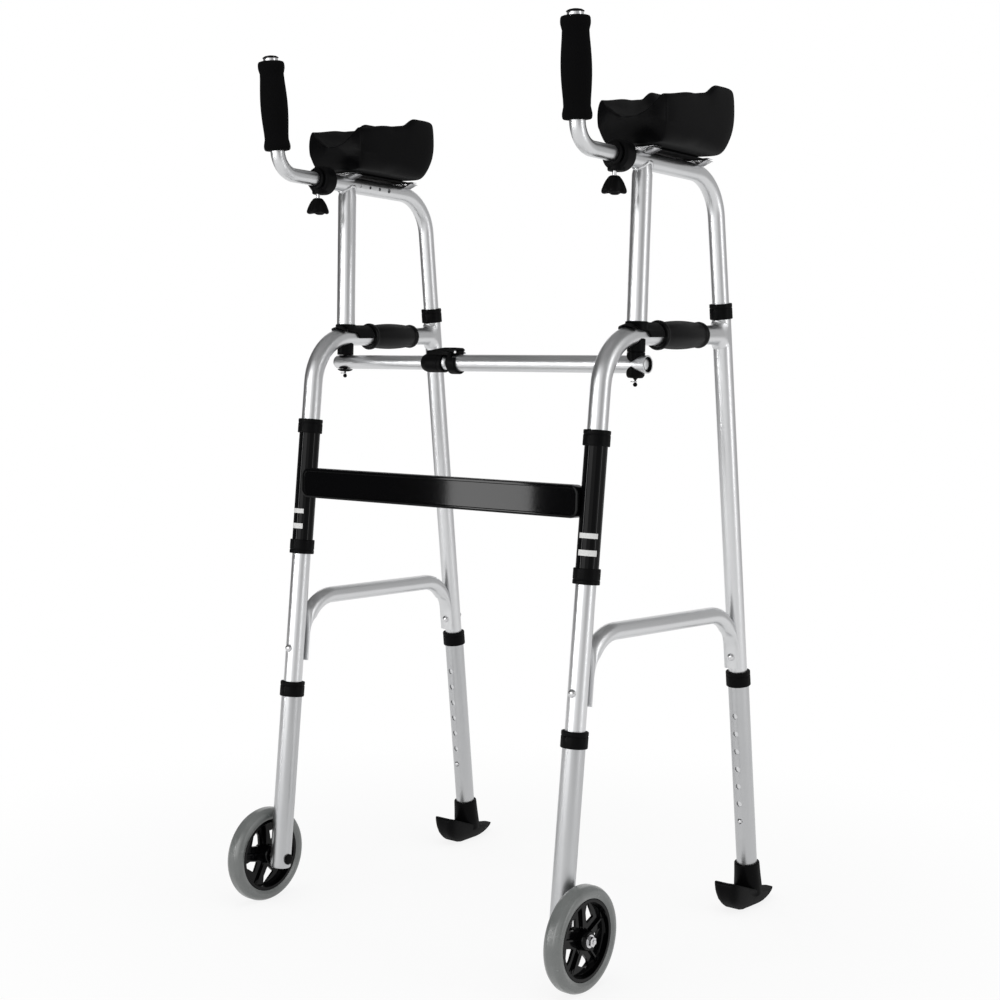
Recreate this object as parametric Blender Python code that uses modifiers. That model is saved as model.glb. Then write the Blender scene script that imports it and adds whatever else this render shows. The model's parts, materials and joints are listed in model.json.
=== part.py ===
# Two-wheeled walking frame with forearm supports.
# Units are metres and +Z is up. The front of the walker faces -Y.
# The origin is on the floor under the middle of the walker.

from math import cos, pi, radians, sin, sqrt, tan

import bmesh
import bpy
from mathutils import Matrix, Vector

# Driving dimensions of the side frames. Each lies in an upright plane that toes out toward the back.
PLANE_X = 0.2352
PLANE_Y = -0.1772
TOE_OUT = 0.04
FRONT_Y = -0.2160
FRONT_LEAN = 0.0789
REAR_Y = 0.2189
REAR_LEAN = -0.1478
RAIL_Z = 0.783
RAIL_REAR_Y = 0.1032
RAIL_SLOPE = 0.045
RAIL_FRONT_Y = (FRONT_Y + FRONT_LEAN * (RAIL_Z - RAIL_SLOPE * RAIL_REAR_Y)) / (1 - FRONT_LEAN * RAIL_SLOPE)
RAIL_BEND = 0.070
REAR_TOP_Z = 0.8133

# Tube radii and the clearances between neighbours.
FRAME_R = 0.0125
LEG_R = 0.014
FOREARM_R = 0.011
BRACE_R = 0.011
HANDLE_R = 0.0095
LEG_BORE = 0.0129
SLEEVE_BORE = 0.0130
GAP = 0.0003
SIDES_OF_TUBE = 14

# Lower legs: the snap button sits in the lowest of the height holes.
LEG_SPLIT_Z = 0.105
BUTTON_Z = 0.124
HOLE_PITCH = 0.025
HOLE_COUNT = 7
FRONT_COLLAR_Z = 0.293
REAR_COLLAR_Z = 0.323

# Wheels stand on a flat of their faceted tread.
WHEEL_R = 0.0635
WHEEL_STEPS = 24
AXLE_Z = WHEEL_R * cos(pi / WHEEL_STEPS)
WHEEL_X = 0.2634

# Bolts that hold the side brace, and the shank that holds the pivot bracket.
BOLT_R = 0.0030
BOLT_HOLE_R = 0.0034
FRONT_BOLT_Z = 0.348
REAR_BOLT_Z = 0.356
SHANK_R = 0.0040
SHANK_HOLE_R = 0.0045

# Cross tubes on their upright pins, the clip between them and the bosses that they hang from.
PIN_Y = -0.0925
PIN_OUT = 0.0020
PIN_TOP_Z = 0.7585
BAR_Z = 0.739
LEFT_BAR_R = 0.0095
RIGHT_BAR_R = 0.011
RIVET_X = -0.0365
RIVET_Z = BAR_Z + 0.0140
RAIL_AT_PIN_Z = RAIL_Z + RAIL_SLOPE * (PIN_Y - RAIL_REAR_Y)
POST_BOTTOM_Z = 0.7912
BOSS_TOP_Z = RAIL_AT_PIN_Z - 0.0040
LEFT_BOSS_Z = BAR_Z + LEFT_BAR_R + GAP
RIGHT_BOSS_Z = 0.7540

# Front brace.
BRACE_Z = 0.5742
BRACE_HEIGHT = 0.0395
BRACE_FRONT_Y = -0.1887
BRACE_THICK = 0.0165
BRACE_HALF = 0.2268
SLEEVE_TOP_Z = 0.656
SLEEVE_BOTTOM_Z = 0.480

# Forearm support. Its plane stands a little outside that of the side frame, with less toe-out.
ARM_X = 0.2422
ARM_TOE_OUT = 0.015
ARM_Z = 0.984
ARM_BEND = 0.060
ARM_FRONT_Y = -0.1455
CLAMP_FRONT_Y = -0.1565
KNOB_Y = -0.1510
KNOB_TOP_Z = 0.9585
PAD_BOTTOM_Z = 1.000
PAD_HALF = 0.052
PAD_FRONT_Y = -0.118
PAD_REAR_Y = 0.030
HANDLE_LEAN = -0.1085
HANDLE_SPLAY = 0.022
HANDLE_BEND = 0.031
HANDLE_Y = -0.2258
HANDLE_TOP_Z = 1.1318

UP = Vector((0, 0, 1))
ACROSS = Vector((1, 0, 0))
ALONG = Vector((0, 1, 0))

# Looks: colour, roughness and metallic value.
ALUMINIUM = ((0.66, 0.67, 0.68), 0.38, 0.95)
GLOSS_BLACK = ((0.012, 0.012, 0.013), 0.22, 0.0)
MATT_BLACK = ((0.016, 0.016, 0.017), 0.55, 0.0)
PAD_BLACK = ((0.010, 0.010, 0.012), 0.48, 0.0)
FOAM_BLACK = ((0.010, 0.010, 0.010), 0.85, 0.0)
TYRE_GREY = ((0.23, 0.25, 0.24), 0.60, 0.0)
STEEL = ((0.72, 0.72, 0.73), 0.25, 1.0)

SIDES = (("left", -1), ("right", 1))

for old in list(bpy.data.objects):
    bpy.data.objects.remove(old)

PARTS = bpy.data.collections.new("forearm_walker")
bpy.context.scene.collection.children.link(PARTS)


# Places on the frame

def frame_point(side, y, z, out=0.0):
    """A point in the plane of one side frame, or that far outward from it."""
    return Vector((side * (PLANE_X + TOE_OUT * (y - PLANE_Y) + out), y, z))


def rail_point(side, y):
    """A point of the handrail's axis, which rises a little toward the back."""
    return frame_point(side, y, RAIL_Z + RAIL_SLOPE * (y - RAIL_REAR_Y))


def pin_point(side, z):
    """A point on the upright axis of the bracket, the post and the cross tube's pin."""
    return frame_point(side, PIN_Y, z, PIN_OUT)


def arm_point(side, y, z, out=0.0):
    """A point in the plane of one forearm support."""
    return Vector((side * (ARM_X + ARM_TOE_OUT * (y - PIN_Y) + out), y, z))


def front_leg(side, z):
    return frame_point(side, FRONT_Y + FRONT_LEAN * z, z)


def rear_leg(side, z):
    return frame_point(side, REAR_Y + REAR_LEAN * z, z)


def leg_axis(leg, side):
    return (leg(side, 1.0) - leg(side, 0.0)).normalized()


def leg_normal(leg, side):
    """Square to the leg, toward the back of the walker."""
    axis = leg_axis(leg, side)
    return (ALONG - axis * axis.y).normalized()


def aim(origin, axis, toward=ACROSS):
    """A frame with +Z along the axis and +X as near as it can be to the given direction."""
    z = axis.normalized()
    y = z.cross(toward).normalized()
    x = y.cross(z)
    turn = Matrix((x, y, z)).transposed().to_4x4()
    return Matrix.Translation(origin) @ turn


# Modelling steps

def add_object(name, data):
    obj = bpy.data.objects.new(name, data)
    PARTS.objects.link(obj)
    return obj


def baked(obj, matrix=None):
    """Turns a curve, or a mesh with modifiers, into one welded mesh object."""
    graph = bpy.context.evaluated_depsgraph_get()
    mesh = bpy.data.meshes.new_from_object(obj.evaluated_get(graph))
    if matrix:
        mesh.transform(matrix)
    shape = bmesh.new()
    shape.from_mesh(mesh)
    bmesh.ops.remove_doubles(shape, verts=shape.verts, dist=0.000002)
    shape.to_mesh(mesh)
    shape.free()
    bpy.data.objects.remove(obj)
    return add_object("solid", mesh)


def boolean(obj, tools, operation):
    """Cuts the tools out of the object, or joins them to it, one after another."""
    for tool in tools:
        modifier = obj.modifiers.new("join", "BOOLEAN")
        modifier.operation = operation
        modifier.object = tool
        obj = baked(obj)
        bpy.data.objects.remove(tool)
    return obj


def cut(obj, *tools):
    return boolean(obj, tools, "DIFFERENCE")


def join(obj, *tools):
    return boolean(obj, tools, "UNION")


def turned(profile, matrix, steps=SIDES_OF_TUBE, phase=0.0):
    """Screws a profile of (radius, height) points that runs down the outer side."""
    mesh = bpy.data.meshes.new("profile")
    points = [(radius, 0.0, height) for radius, height in profile]
    edges = [(i, i + 1) for i in range(len(points) - 1)]
    if profile[0][0] > 0.0:
        edges.append((len(points) - 1, 0))
    mesh.from_pydata(points, edges, [])
    obj = add_object("turned", mesh)
    screw = obj.modifiers.new("screw", "SCREW")
    screw.steps = steps
    screw.render_steps = steps
    screw.use_merge_vertices = True
    screw.merge_threshold = 0.00001
    return baked(obj, matrix @ Matrix.Rotation(phase, 4, "Z"))


def rod(start, end, radius, steps=SIDES_OF_TUBE):
    """A plain cylinder between two points."""
    axis = end - start
    toward = ACROSS if abs(axis.normalized().x) < 0.9 else UP
    profile = [(0.0, axis.length), (radius, axis.length), (radius, 0.0), (0.0, 0.0)]
    return turned(profile, aim(start, axis, toward), steps)


def rounded_path(corners, bend, steps=7):
    """Straight runs with a true arc of the bend radius at each inner corner."""
    path = [corners[0]]
    for before, corner, after in zip(corners, corners[1:], corners[2:]):
        arrive = (corner - before).normalized()
        leave = (after - corner).normalized()
        angle = arrive.angle(leave)
        inward = (leave - arrive * cos(angle)).normalized()
        start = corner - arrive * bend * tan(angle / 2)
        for step in range(steps + 1):
            turn = angle * step / steps
            path.append(start + arrive * bend * sin(turn) + inward * bend * (1 - cos(turn)))
    path.append(corners[-1])
    return path


def tube(path, radius, sides=SIDES_OF_TUBE):
    """A round rod along a path, as a bevelled curve with filled ends."""
    curve = bpy.data.curves.new("tube", "CURVE")
    curve.dimensions = "3D"
    curve.bevel_depth = radius
    curve.bevel_resolution = (sides - 4) // 2
    curve.use_fill_caps = True
    spline = curve.splines.new("POLY")
    spline.points.add(len(path) - 1)
    for point, place in zip(spline.points, path):
        point.co = (*place, 1.0)
    return baked(add_object("tube", curve))


def plate(outline, thickness, matrix):
    """A flat outline, extruded evenly to both sides of its plane."""
    curve = bpy.data.curves.new("plate", "CURVE")
    curve.dimensions = "2D"
    curve.fill_mode = "BOTH"
    curve.extrude = thickness / 2
    spline = curve.splines.new("POLY")
    spline.points.add(len(outline) - 1)
    for point, (u, v) in zip(spline.points, outline):
        point.co = (u, v, 0.0, 1.0)
    spline.use_cyclic_u = True
    return baked(add_object("plate", curve), matrix)


def box(low, high):
    size = Vector(high) - Vector(low)
    bpy.ops.mesh.primitive_cube_add(size=1.0)
    obj = bpy.context.object
    for home in list(obj.users_collection):
        home.objects.unlink(obj)
    PARTS.objects.link(obj)
    middle = (Vector(high) + Vector(low)) / 2
    return baked(obj, Matrix.Translation(middle) @ Matrix.Diagonal((*size, 1.0)))


def arc(centre, radius, start, end, steps):
    """Points of an arc, with its angles in degrees."""
    angles = [radians(start + (end - start) * i / steps) for i in range(steps + 1)]
    return [(centre[0] + radius * cos(a), centre[1] + radius * sin(a)) for a in angles]


# Assembly: an empty on each joint's axis carries the pieces that move with it

BODIES = {}


def body(name, place, parent=None):
    empty = bpy.data.objects.new(name, None)
    PARTS.objects.link(empty)
    BODIES[name] = (empty, Vector(place))
    empty.location = place
    if parent:
        carrier, home = BODIES[parent]
        empty.parent = carrier
        empty.location = Vector(place) - home
    empty.empty_display_size = 0.02


def finish(obj, name, look, carrier):
    """Names the piece, gives it its own material and hangs it on its body."""
    colour, roughness, metallic = look
    material = bpy.data.materials.new(name)
    material.use_nodes = True
    shader = material.node_tree.nodes["Principled BSDF"]
    shader.inputs["Base Color"].default_value = (*colour, 1.0)
    shader.inputs["Roughness"].default_value = roughness
    shader.inputs["Metallic"].default_value = metallic
    empty, home = BODIES[carrier]
    obj.name = name
    obj.data.name = name
    obj.data.transform(Matrix.Translation(-home))
    obj.parent = empty
    obj.data.materials.clear()
    obj.data.materials.append(material)
    obj.data.shade_smooth()
    obj.data.set_sharp_from_angle(angle=radians(35))
    return obj


# Pieces of the front brace

def stadium(half_length, half_height, steps=6):
    """An outline with round ends."""
    run = half_length - half_height
    right = arc((run, 0.0), half_height, -90, 90, steps)
    left = arc((-run, 0.0), half_height, 90, 270, steps)
    return right + left


def front_brace():
    rim = 0.0035
    recess = 0.0012
    middle_y = BRACE_FRONT_Y + BRACE_THICK / 2
    upright = aim(Vector((0, middle_y, BRACE_Z)), -ALONG)
    crossbar = plate(stadium(BRACE_HALF, BRACE_HEIGHT / 2), BRACE_THICK, upright)
    panel = stadium(BRACE_HALF - rim, BRACE_HEIGHT / 2 - rim)
    for face in (-1, 1):
        place = Matrix.Translation((0, face * BRACE_THICK / 2, 0)) @ upright
        crossbar = cut(crossbar, plate(panel, 2 * recess, place))
    for _, side in SIDES:
        low = front_leg(side, SLEEVE_BOTTOM_Z)
        high = front_leg(side, SLEEVE_TOP_Z)
        reach = (high - low).normalized() * 0.01
        crossbar = join(crossbar, rod(low, high, LEG_R))
        crossbar = cut(crossbar, rod(low - reach, high + reach, SLEEVE_BORE))
    finish(crossbar, "front_brace", GLOSS_BLACK, "front")


def sleeve_collar(side, centre_z, cap_side):
    """A ring over the sleeve's end, with a lip that closes on the leg."""
    half = 0.0095
    lip = 0.0028
    outer = 0.0165
    edge = 0.0012
    seat = LEG_R + GAP
    profile = [
        (outer - edge, half),
        (outer, half - edge),
        (outer, -half),
        (seat, -half),
        (seat, half - lip),
        (SLEEVE_BORE, half - lip),
        (SLEEVE_BORE, half),
    ]
    axis = leg_axis(front_leg, side) * cap_side
    return turned(profile, aim(front_leg(side, centre_z), axis))


def sleeve_collars(name, side):
    top = sleeve_collar(side, SLEEVE_TOP_Z + 0.0033 - 0.0095, 1)
    finish(top, f"sleeve_top_collar_{name}", MATT_BLACK, "front")
    bottom = sleeve_collar(side, SLEEVE_BOTTOM_Z - 0.0033 + 0.0095, -1)
    finish(bottom, f"sleeve_bottom_collar_{name}", MATT_BLACK, "front")


# Pieces of one side frame

def rail_path(side):
    foot = front_leg(side, LEG_SPLIT_Z)
    corner = rail_point(side, RAIL_FRONT_Y)
    end = rail_point(side, RAIL_REAR_Y - 0.003)
    return rounded_path([foot, corner, end], RAIL_BEND, 8)


def button_pocket(leg, side, outward):
    """The blind hole in the upper leg that the snap button slides in."""
    middle = leg(side, BUTTON_Z)
    normal = outward * leg_normal(leg, side)
    return rod(middle - normal * 0.001, middle + normal * 0.02, 0.0039, 8)


def bolt_hole(leg, side, z):
    reach = leg_normal(leg, side) * 0.03
    return rod(leg(side, z) - reach, leg(side, z) + reach, BOLT_HOLE_R, 8)


def front_frame_tube(name, side):
    rail = tube(rail_path(side), FRAME_R)
    cope = rod(rear_leg(side, 0.73), rear_leg(side, 0.84), FRAME_R + GAP)
    pin = pin_point(side, RAIL_AT_PIN_Z)
    shank_hole = rod(pin - UP * 0.03, pin + UP * 0.03, SHANK_HOLE_R, 8)
    pocket = button_pocket(front_leg, side, 1)
    rail = cut(rail, cope, shank_hole, pocket, bolt_hole(front_leg, side, FRONT_BOLT_Z))
    finish(rail, f"front_frame_tube_{name}", ALUMINIUM, f"{name}_side")


def rear_upright(name, side):
    """The rear leg's upper tube, whose open top takes the forearm frame."""
    upright = rod(rear_leg(side, LEG_SPLIT_Z), rear_leg(side, REAR_TOP_Z), FRAME_R)
    socket = rod(rear_leg(side, 0.755), rear_leg(side, 0.83), FOREARM_R + 0.0004)
    pocket = button_pocket(rear_leg, side, -1)
    upright = cut(upright, socket, pocket, bolt_hole(rear_leg, side, REAR_BOLT_Z))
    finish(upright, f"rear_upright_{name}", ALUMINIUM, f"{name}_side")


def rear_top_collar(name, side):
    half = 0.010
    outer = 0.0148
    edge = 0.0010
    seat = FRAME_R + 0.0004
    neck = FOREARM_R + 0.0004
    profile = [
        (outer - edge, half),
        (outer, half - edge),
        (outer, -half),
        (seat, -half),
        (seat, GAP),
        (neck, GAP),
        (neck, half),
    ]
    ring = turned(profile, aim(rear_leg(side, REAR_TOP_Z), leg_axis(rear_leg, side)))
    finish(ring, f"rear_top_collar_{name}", MATT_BLACK, f"{name}_side")


def pressed_tube(path, lateral, legs, sides=10):
    """A tube whose ends are pressed flat where they would run into the legs."""
    flat = 0.0019
    spread = 1.06
    shape = bmesh.new()
    loops = []
    for i, place in enumerate(path):
        tangent = (path[min(i + 1, len(path) - 1)] - path[max(i - 1, 0)]).normalized()
        inward = lateral.cross(tangent).normalized()
        depth = BRACE_R
        for origin, axis, normal in legs:
            room = abs((place - origin).dot(normal)) - FRAME_R - 2 * GAP
            facing = max(abs(inward.dot(normal)), 0.05)
            depth = min(depth, max(room / facing, flat))
        width = BRACE_R * (1 + (spread - 1) * (1 - depth / BRACE_R))
        loop = []
        for side in range(sides):
            angle = 2 * pi * (side + 0.5) / sides
            loop.append(shape.verts.new(place + inward * depth * cos(angle) + lateral * width * sin(angle)))
        loops.append(loop)
    return loops, shape


def loft(loops, shape, name):
    """Skins a row of loops and closes both ends."""
    for near, far in zip(loops, loops[1:]):
        for i in range(len(near)):
            j = (i + 1) % len(near)
            shape.faces.new((near[i], near[j], far[j], far[i]))
    for loop in (loops[0], loops[-1]):
        shape.faces.new(loop)
    bmesh.ops.recalc_face_normals(shape, faces=shape.faces)
    bmesh.ops.triangulate(shape, faces=[face for face in shape.faces if len(face.verts) > 4])
    mesh = bpy.data.meshes.new(name)
    shape.to_mesh(mesh)
    shape.free()
    return add_object(name, mesh)


def dome_bolt(start, end, head_r, head):
    """A bolt with a domed head past its start and a nut past its end."""
    length = (end - start).length
    profile = [
        (0.0, length + 0.0035),
        (0.0050, length + 0.0035),
        (0.0050, length),
        (BOLT_R, length),
        (BOLT_R, 0.0),
        (head_r, 0.0),
        (head_r * 0.80, -head * 0.75),
        (0.0, -head),
    ]
    return turned(profile, aim(start, end - start), 8)


def side_brace(name, side):
    """A tube that bows up between the legs, with its flat ends bolted to their inner faces."""
    level = 0.4165
    bend = 0.055
    reach = FRAME_R + 2 * GAP + 0.0019
    lateral = (frame_point(side, 0.0, 0.0, 1.0) - frame_point(side, 0.0, 0.0)).normalized()
    ends = []
    for leg, low_z, inward in ((front_leg, 0.332, 1), (rear_leg, 0.340, -1)):
        offset = leg_normal(leg, side) * inward * reach
        low = leg(side, low_z) + offset
        high = low + leg_axis(leg, side) * (level - low_z) / leg_axis(leg, side).z
        ends.append((low, high))
    (front_low, front_high), (rear_low, rear_high) = ends
    path = rounded_path([front_low, front_high, rear_high, rear_low], bend, 6)
    legs = [(leg(side, level), leg_axis(leg, side), leg_normal(leg, side)) for leg in (front_leg, rear_leg)]
    brace = loft(*pressed_tube(path, lateral, legs), "brace")
    near = FRAME_R + GAP
    far = near + 0.0042
    for leg, z, before, after in ((front_leg, FRONT_BOLT_Z, near, far), (rear_leg, REAR_BOLT_Z, far, near)):
        across = leg_normal(leg, side)
        middle = leg(side, z)
        brace = join(brace, dome_bolt(middle - across * before, middle + across * after, 0.0060, 0.0040))
    finish(brace, f"side_brace_{name}", ALUMINIUM, f"{name}_side")


def forearm_frame(name, side):
    """Rear tube, top bend and hollow top tube, with the front post welded under it."""
    bottom = rear_leg(side, 0.765)
    mouth = rear_leg(side, REAR_TOP_Z + 0.016)
    corner = arm_point(side, rear_leg(side, ARM_Z).y, ARM_Z)
    front = arm_point(side, ARM_FRONT_Y, ARM_Z)
    frame = tube([bottom] + rounded_path([mouth, corner, front], ARM_BEND, 6), FOREARM_R)
    post_low = pin_point(side, POST_BOTTOM_Z)
    post_high = arm_point(side, PIN_Y, ARM_Z - 0.004)
    post_length = (post_high - post_low).length
    post_profile = [
        (0.0, post_length),
        (FRAME_R - 0.0025, post_length),
        (FRAME_R, post_length - 0.012),
        (FRAME_R, 0.0),
        (0.0, 0.0),
    ]
    post = turned(post_profile, aim(post_low, post_high - post_low))
    bore = rod(arm_point(side, ARM_FRONT_Y - 0.01, ARM_Z), arm_point(side, 0.012, ARM_Z), 0.0100)
    frame = cut(join(frame, post), bore)
    for step in range(4):
        hole_y = -0.0765 + 0.020 * step
        inner = arm_point(side, hole_y, ARM_Z - 0.001, -0.002)
        outer = arm_point(side, hole_y, ARM_Z - 0.001, -0.014)
        frame = cut(frame, rod(inner, outer, 0.0026, 6))
    finish(frame, f"forearm_frame_{name}", ALUMINIUM, f"{name}_side")


def pivot_bracket(name, side):
    """Saddle over the rail's bend, a shank through the rail and the boss under it."""
    arc_part = [p for p in rail_path(side) if p.z > RAIL_AT_PIN_Z - 0.018]
    shell_path = arc_part[:-1] + [rail_point(side, -0.0520)]
    saddle = tube(shell_path, FRAME_R + 0.0034)
    seat = rod(pin_point(side, RAIL_AT_PIN_Z), pin_point(side, POST_BOTTOM_Z - GAP), 0.0142, 16)
    lower = [(-0.150, 0.700), (-0.040, 0.700), (-0.040, 0.7741), (-0.0800, 0.7723),
             (-0.0850, 0.7800), (-0.1000, 0.7816), (-0.1070, 0.7799), (-0.1075, 0.8000), (-0.1500, 0.8000)]
    side_view = Matrix(((0, 0, 1, side * PLANE_X), (1, 0, 0, 0), (0, 1, 0, 0), (0, 0, 0, 1)))
    saddle = cut(join(saddle, seat), plate(lower, 0.08, side_view))
    boss_z = LEFT_BOSS_Z if side < 0 else RIGHT_BOSS_Z
    boss = rod(pin_point(side, boss_z), pin_point(side, BOSS_TOP_Z), 0.0112, 14)
    room = tube(rail_path(side), FRAME_R + 2 * GAP)
    spare = tube(rail_path(side), FRAME_R + 2 * GAP)
    saddle = cut(saddle, room)
    boss = cut(boss, spare)
    shank = rod(pin_point(side, PIN_TOP_Z + 0.0012), pin_point(side, POST_BOTTOM_Z - 0.0025), SHANK_R, 8)
    bracket = join(saddle, shank, boss)
    hole = rod(pin_point(side, 0.7300), pin_point(side, PIN_TOP_Z + 0.0010), 0.0034, 10)
    bracket = cut(bracket, hole)
    finish(bracket, f"pivot_bracket_{name}", MATT_BLACK, f"{name}_side")


def hand_grip(name, side):
    """Moulded grip: a front flange, a full palm and a rolled rear ring."""
    front_y = -0.0470
    rear_y = 0.0505
    length = rear_y - front_y
    bore = FRAME_R + 0.0004
    profile = [(0.0150, length), (0.0167, length - 0.0025), (0.0166, length - 0.0065)]
    for step in range(5):
        share = step / 4
        profile.append((0.0152 + 0.0028 * sin(pi * share) ** 0.8, length - 0.011 - share * (length - 0.018)))
    profile += [(0.0183, 0.0050), (0.0186, 0.0020), (0.0172, 0.0), (bore, 0.0), (bore, length)]
    start = rail_point(side, front_y)
    grip = turned(profile, aim(start, rail_point(side, rear_y) - start))
    finish(grip, f"hand_grip_{name}", MATT_BLACK, f"{name}_side")


# The forearm pad: a lofted gutter with rounded ends and raised rear shoulders

def rim_height(y):
    """Height of the pad's rims: a slow rise, then the shoulders at the back."""
    knots = [(-0.118, 1.058), (-0.060, 1.067), (-0.036, 1.071), (-0.012, 1.084), (0.024, 1.085), (0.045, 1.083)]
    if y <= knots[0][0]:
        return knots[0][1]
    for (y0, z0), (y1, z1) in zip(knots, knots[1:]):
        if y <= y1:
            share = (y - y0) / (y1 - y0)
            return z0 + (z1 - z0) * share * share * (3 - 2 * share)
    return knots[-1][1]


def pad_section(rim_z):
    """Half of the gutter's outline, from the bottom's middle to the trough's middle."""
    height = rim_z - PAD_BOTTOM_Z
    trough_z = PAD_BOTTOM_Z + 0.032
    points = [(0.0, PAD_BOTTOM_Z), (0.026, PAD_BOTTOM_Z), (0.0435, PAD_BOTTOM_Z + 0.0008)]
    points += [(0.0485, PAD_BOTTOM_Z + 0.0060), (0.0508, PAD_BOTTOM_Z + 0.022)]
    points += [(PAD_HALF, PAD_BOTTOM_Z + 0.55 * height), (0.0513, PAD_BOTTOM_Z + 0.80 * height)]
    points += [(0.0495, rim_z - 0.0030), (0.0460, rim_z), (0.0425, rim_z - 0.0010)]
    wall_x = 0.0395
    for step in range(5):
        share = 1 - step / 4
        rise = (rim_z - 0.006 - trough_z) * share ** 2.2
        points.append((wall_x * share, trough_z + rise))
    return points


def pad(name, side):
    """Each ring is a gutter section, bowed out at the front and back like the moulding."""
    rings = 12
    shape = bmesh.new()
    loops = []
    for ring in range(rings + 1):
        share = ring / rings
        swell = sqrt(max(1 - (abs(2 * share - 1)) ** 9, 0.0))
        rim_z = rim_height(PAD_FRONT_Y + (PAD_REAR_Y - PAD_FRONT_Y) * share)
        half = pad_section(rim_z)
        outline = half + [(-x, z) for x, z in reversed(half[1:-1])]
        loop = []
        for x, z in outline:
            height = min(max((z - PAD_BOTTOM_Z) / 0.080, 0.0), 1.0)
            centre = 1 - (x / PAD_HALF) ** 2
            front = -0.1120 - 0.010 * sin(pi * height) - 0.010 * centre * height
            back = 0.0165 + 0.0205 * sin(pi / 2 * min(height / 0.6, 1.0)) - 0.004 * max(height - 0.6, 0.0)
            y = front + (back - front) * share
            tuck = 0.95 + 0.05 * swell
            foot_taper = 1 - 0.08 * max(1 - 4 * height, 0.0) * max(1 - 3 * share, 0.0)
            core_z = PAD_BOTTOM_Z + 0.024
            spot = arm_point(side, y, core_z + (z - core_z) * tuck)
            spot.x += x * tuck * foot_taper
            loop.append(shape.verts.new(spot))
        loops.append(loop)
    finish(loft(loops, shape, "pad"), f"pad_{name}", PAD_BLACK, f"{name}_side")


def pad_mount(name, side):
    """A plate under the pad on two saddles that sit on the top tube."""
    top_z = PAD_BOTTOM_Z - GAP
    sheet = 0.0022
    wide = 0.0245
    mount = box((-0.017, -0.100, top_z - sheet), (0.017, 0.030, top_z))
    for centre in (-0.094, 0.0235):
        half = 0.0075
        strap = box((-wide, centre - half, top_z - sheet - 0.0016), (wide, centre + half, top_z - 0.0006))
        mount = join(mount, strap)
        cheek = box((-0.0130, centre - half, ARM_Z + 0.0030), (0.0130, centre + half, top_z - 0.0010))
        mount = join(mount, cheek)
    mount.data.transform(aim(arm_point(side, 0.0, 0.0), UP, Vector((1.0, -side * ARM_TOE_OUT, 0.0))))
    start = arm_point(side, -0.16, ARM_Z)
    end = arm_point(side, 0.10, ARM_Z)
    mount = cut(mount, rod(start, end, FOREARM_R + 2 * GAP))
    finish(mount, f"pad_mount_{name}", STEEL, f"{name}_side")


def along_tube(side, y):
    """A frame on the top tube at y, with +Z toward the front."""
    toward = arm_point(side, y - 1.0, ARM_Z) - arm_point(side, y, ARM_Z)
    return aim(arm_point(side, y, ARM_Z), toward)


def handle_clamp(name, side):
    """Round head on the top tube's end, with a bore for the bush and a boss for the knob."""
    length = 0.0215
    outer = 0.0190
    edge = 0.0025
    sink = Matrix.Translation((0.0, 0.0, -0.0035))
    profile = [
        (0.0, 0.0),
        (outer - edge, 0.0),
        (outer, -edge),
        (outer, edge - length),
        (outer - edge, -length),
        (0.0, -length),
    ]
    head = turned(profile, sink @ along_tube(side, CLAMP_FRONT_Y), SIDES_OF_TUBE)
    rear_bore = rod(arm_point(side, -0.1460, ARM_Z), arm_point(side, -0.120, ARM_Z), FOREARM_R + 0.0004)
    front_bore = rod(arm_point(side, -0.170, ARM_Z), arm_point(side, -0.1459, ARM_Z), 0.0131)
    screw_hole = rod(arm_point(side, KNOB_Y, 0.955), arm_point(side, KNOB_Y, 0.978), 0.0031, 10)
    head = cut(head, rear_bore, front_bore, screw_hole)
    finish(head, f"handle_clamp_{name}", MATT_BLACK, f"{name}_side")


def handle_bush(name, side):
    """The ring that turns in the clamp and that the handle tube slides through."""
    outer = 0.0125
    bore = HANDLE_R + 0.0004
    profile = [
        (0.0115, 0.0022),
        (0.0140, 0.0018),
        (0.0145, GAP),
        (outer, GAP),
        (outer, -0.0098),
        (bore, -0.0098),
        (bore, 0.0022),
    ]
    bush = turned(profile, along_tube(side, CLAMP_FRONT_Y), 12)
    finish(bush, f"handle_bush_{name}", MATT_BLACK, f"{name}_bush")


def handle_axis(side, z):
    """The upright part of the handle leans forward, and slightly outward, as it rises."""
    rise = z - ARM_Z
    return arm_point(side, HANDLE_Y + HANDLE_LEAN * rise, z, HANDLE_SPLAY * rise)


def handle_tube(name, side):
    inner = arm_point(side, -0.075, ARM_Z)
    corner = handle_axis(side, ARM_Z)
    top = handle_axis(side, HANDLE_TOP_Z - 0.003)
    rise = (top - corner).normalized()
    handle = tube(rounded_path([inner, corner, top], HANDLE_BEND, 6), HANDLE_R, 12)
    profile = [
        (0.0, 0.0050),
        (0.0066, 0.0044),
        (0.0106, 0.0022),
        (0.0106, 0.0006),
        (0.0080, -0.0030),
        (0.0, -0.0030),
    ]
    handle = join(handle, turned(profile, aim(top, rise), 12))
    finish(handle, f"handle_tube_{name}", ALUMINIUM, f"{name}_handle")


def foam_grip(name, side):
    """Foam sleeve with flared ends, a neck under the top flare and a full belly."""
    low = handle_axis(side, 1.0122)
    high = handle_axis(side, 1.1262)
    length = (high - low).length
    bore = HANDLE_R + 0.0004
    profile = [(0.0155, length), (0.0174, length - 0.0022), (0.0176, length - 0.0090),
               (0.0154, length - 0.0165)]
    for step in range(1, 4):
        share = step / 4
        profile.append((0.0156 + 0.0024 * sin(pi * share), length - 0.0165 - share * (length - 0.0320)))
    profile += [(0.0157, 0.0155), (0.0176, 0.0065), (0.0176, 0.0022), (0.0155, 0.0), (bore, 0.0), (bore, length)]
    grip = turned(profile, aim(low, high - low))
    finish(grip, f"foam_grip_{name}", FOAM_BLACK, f"{name}_handle")


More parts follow.
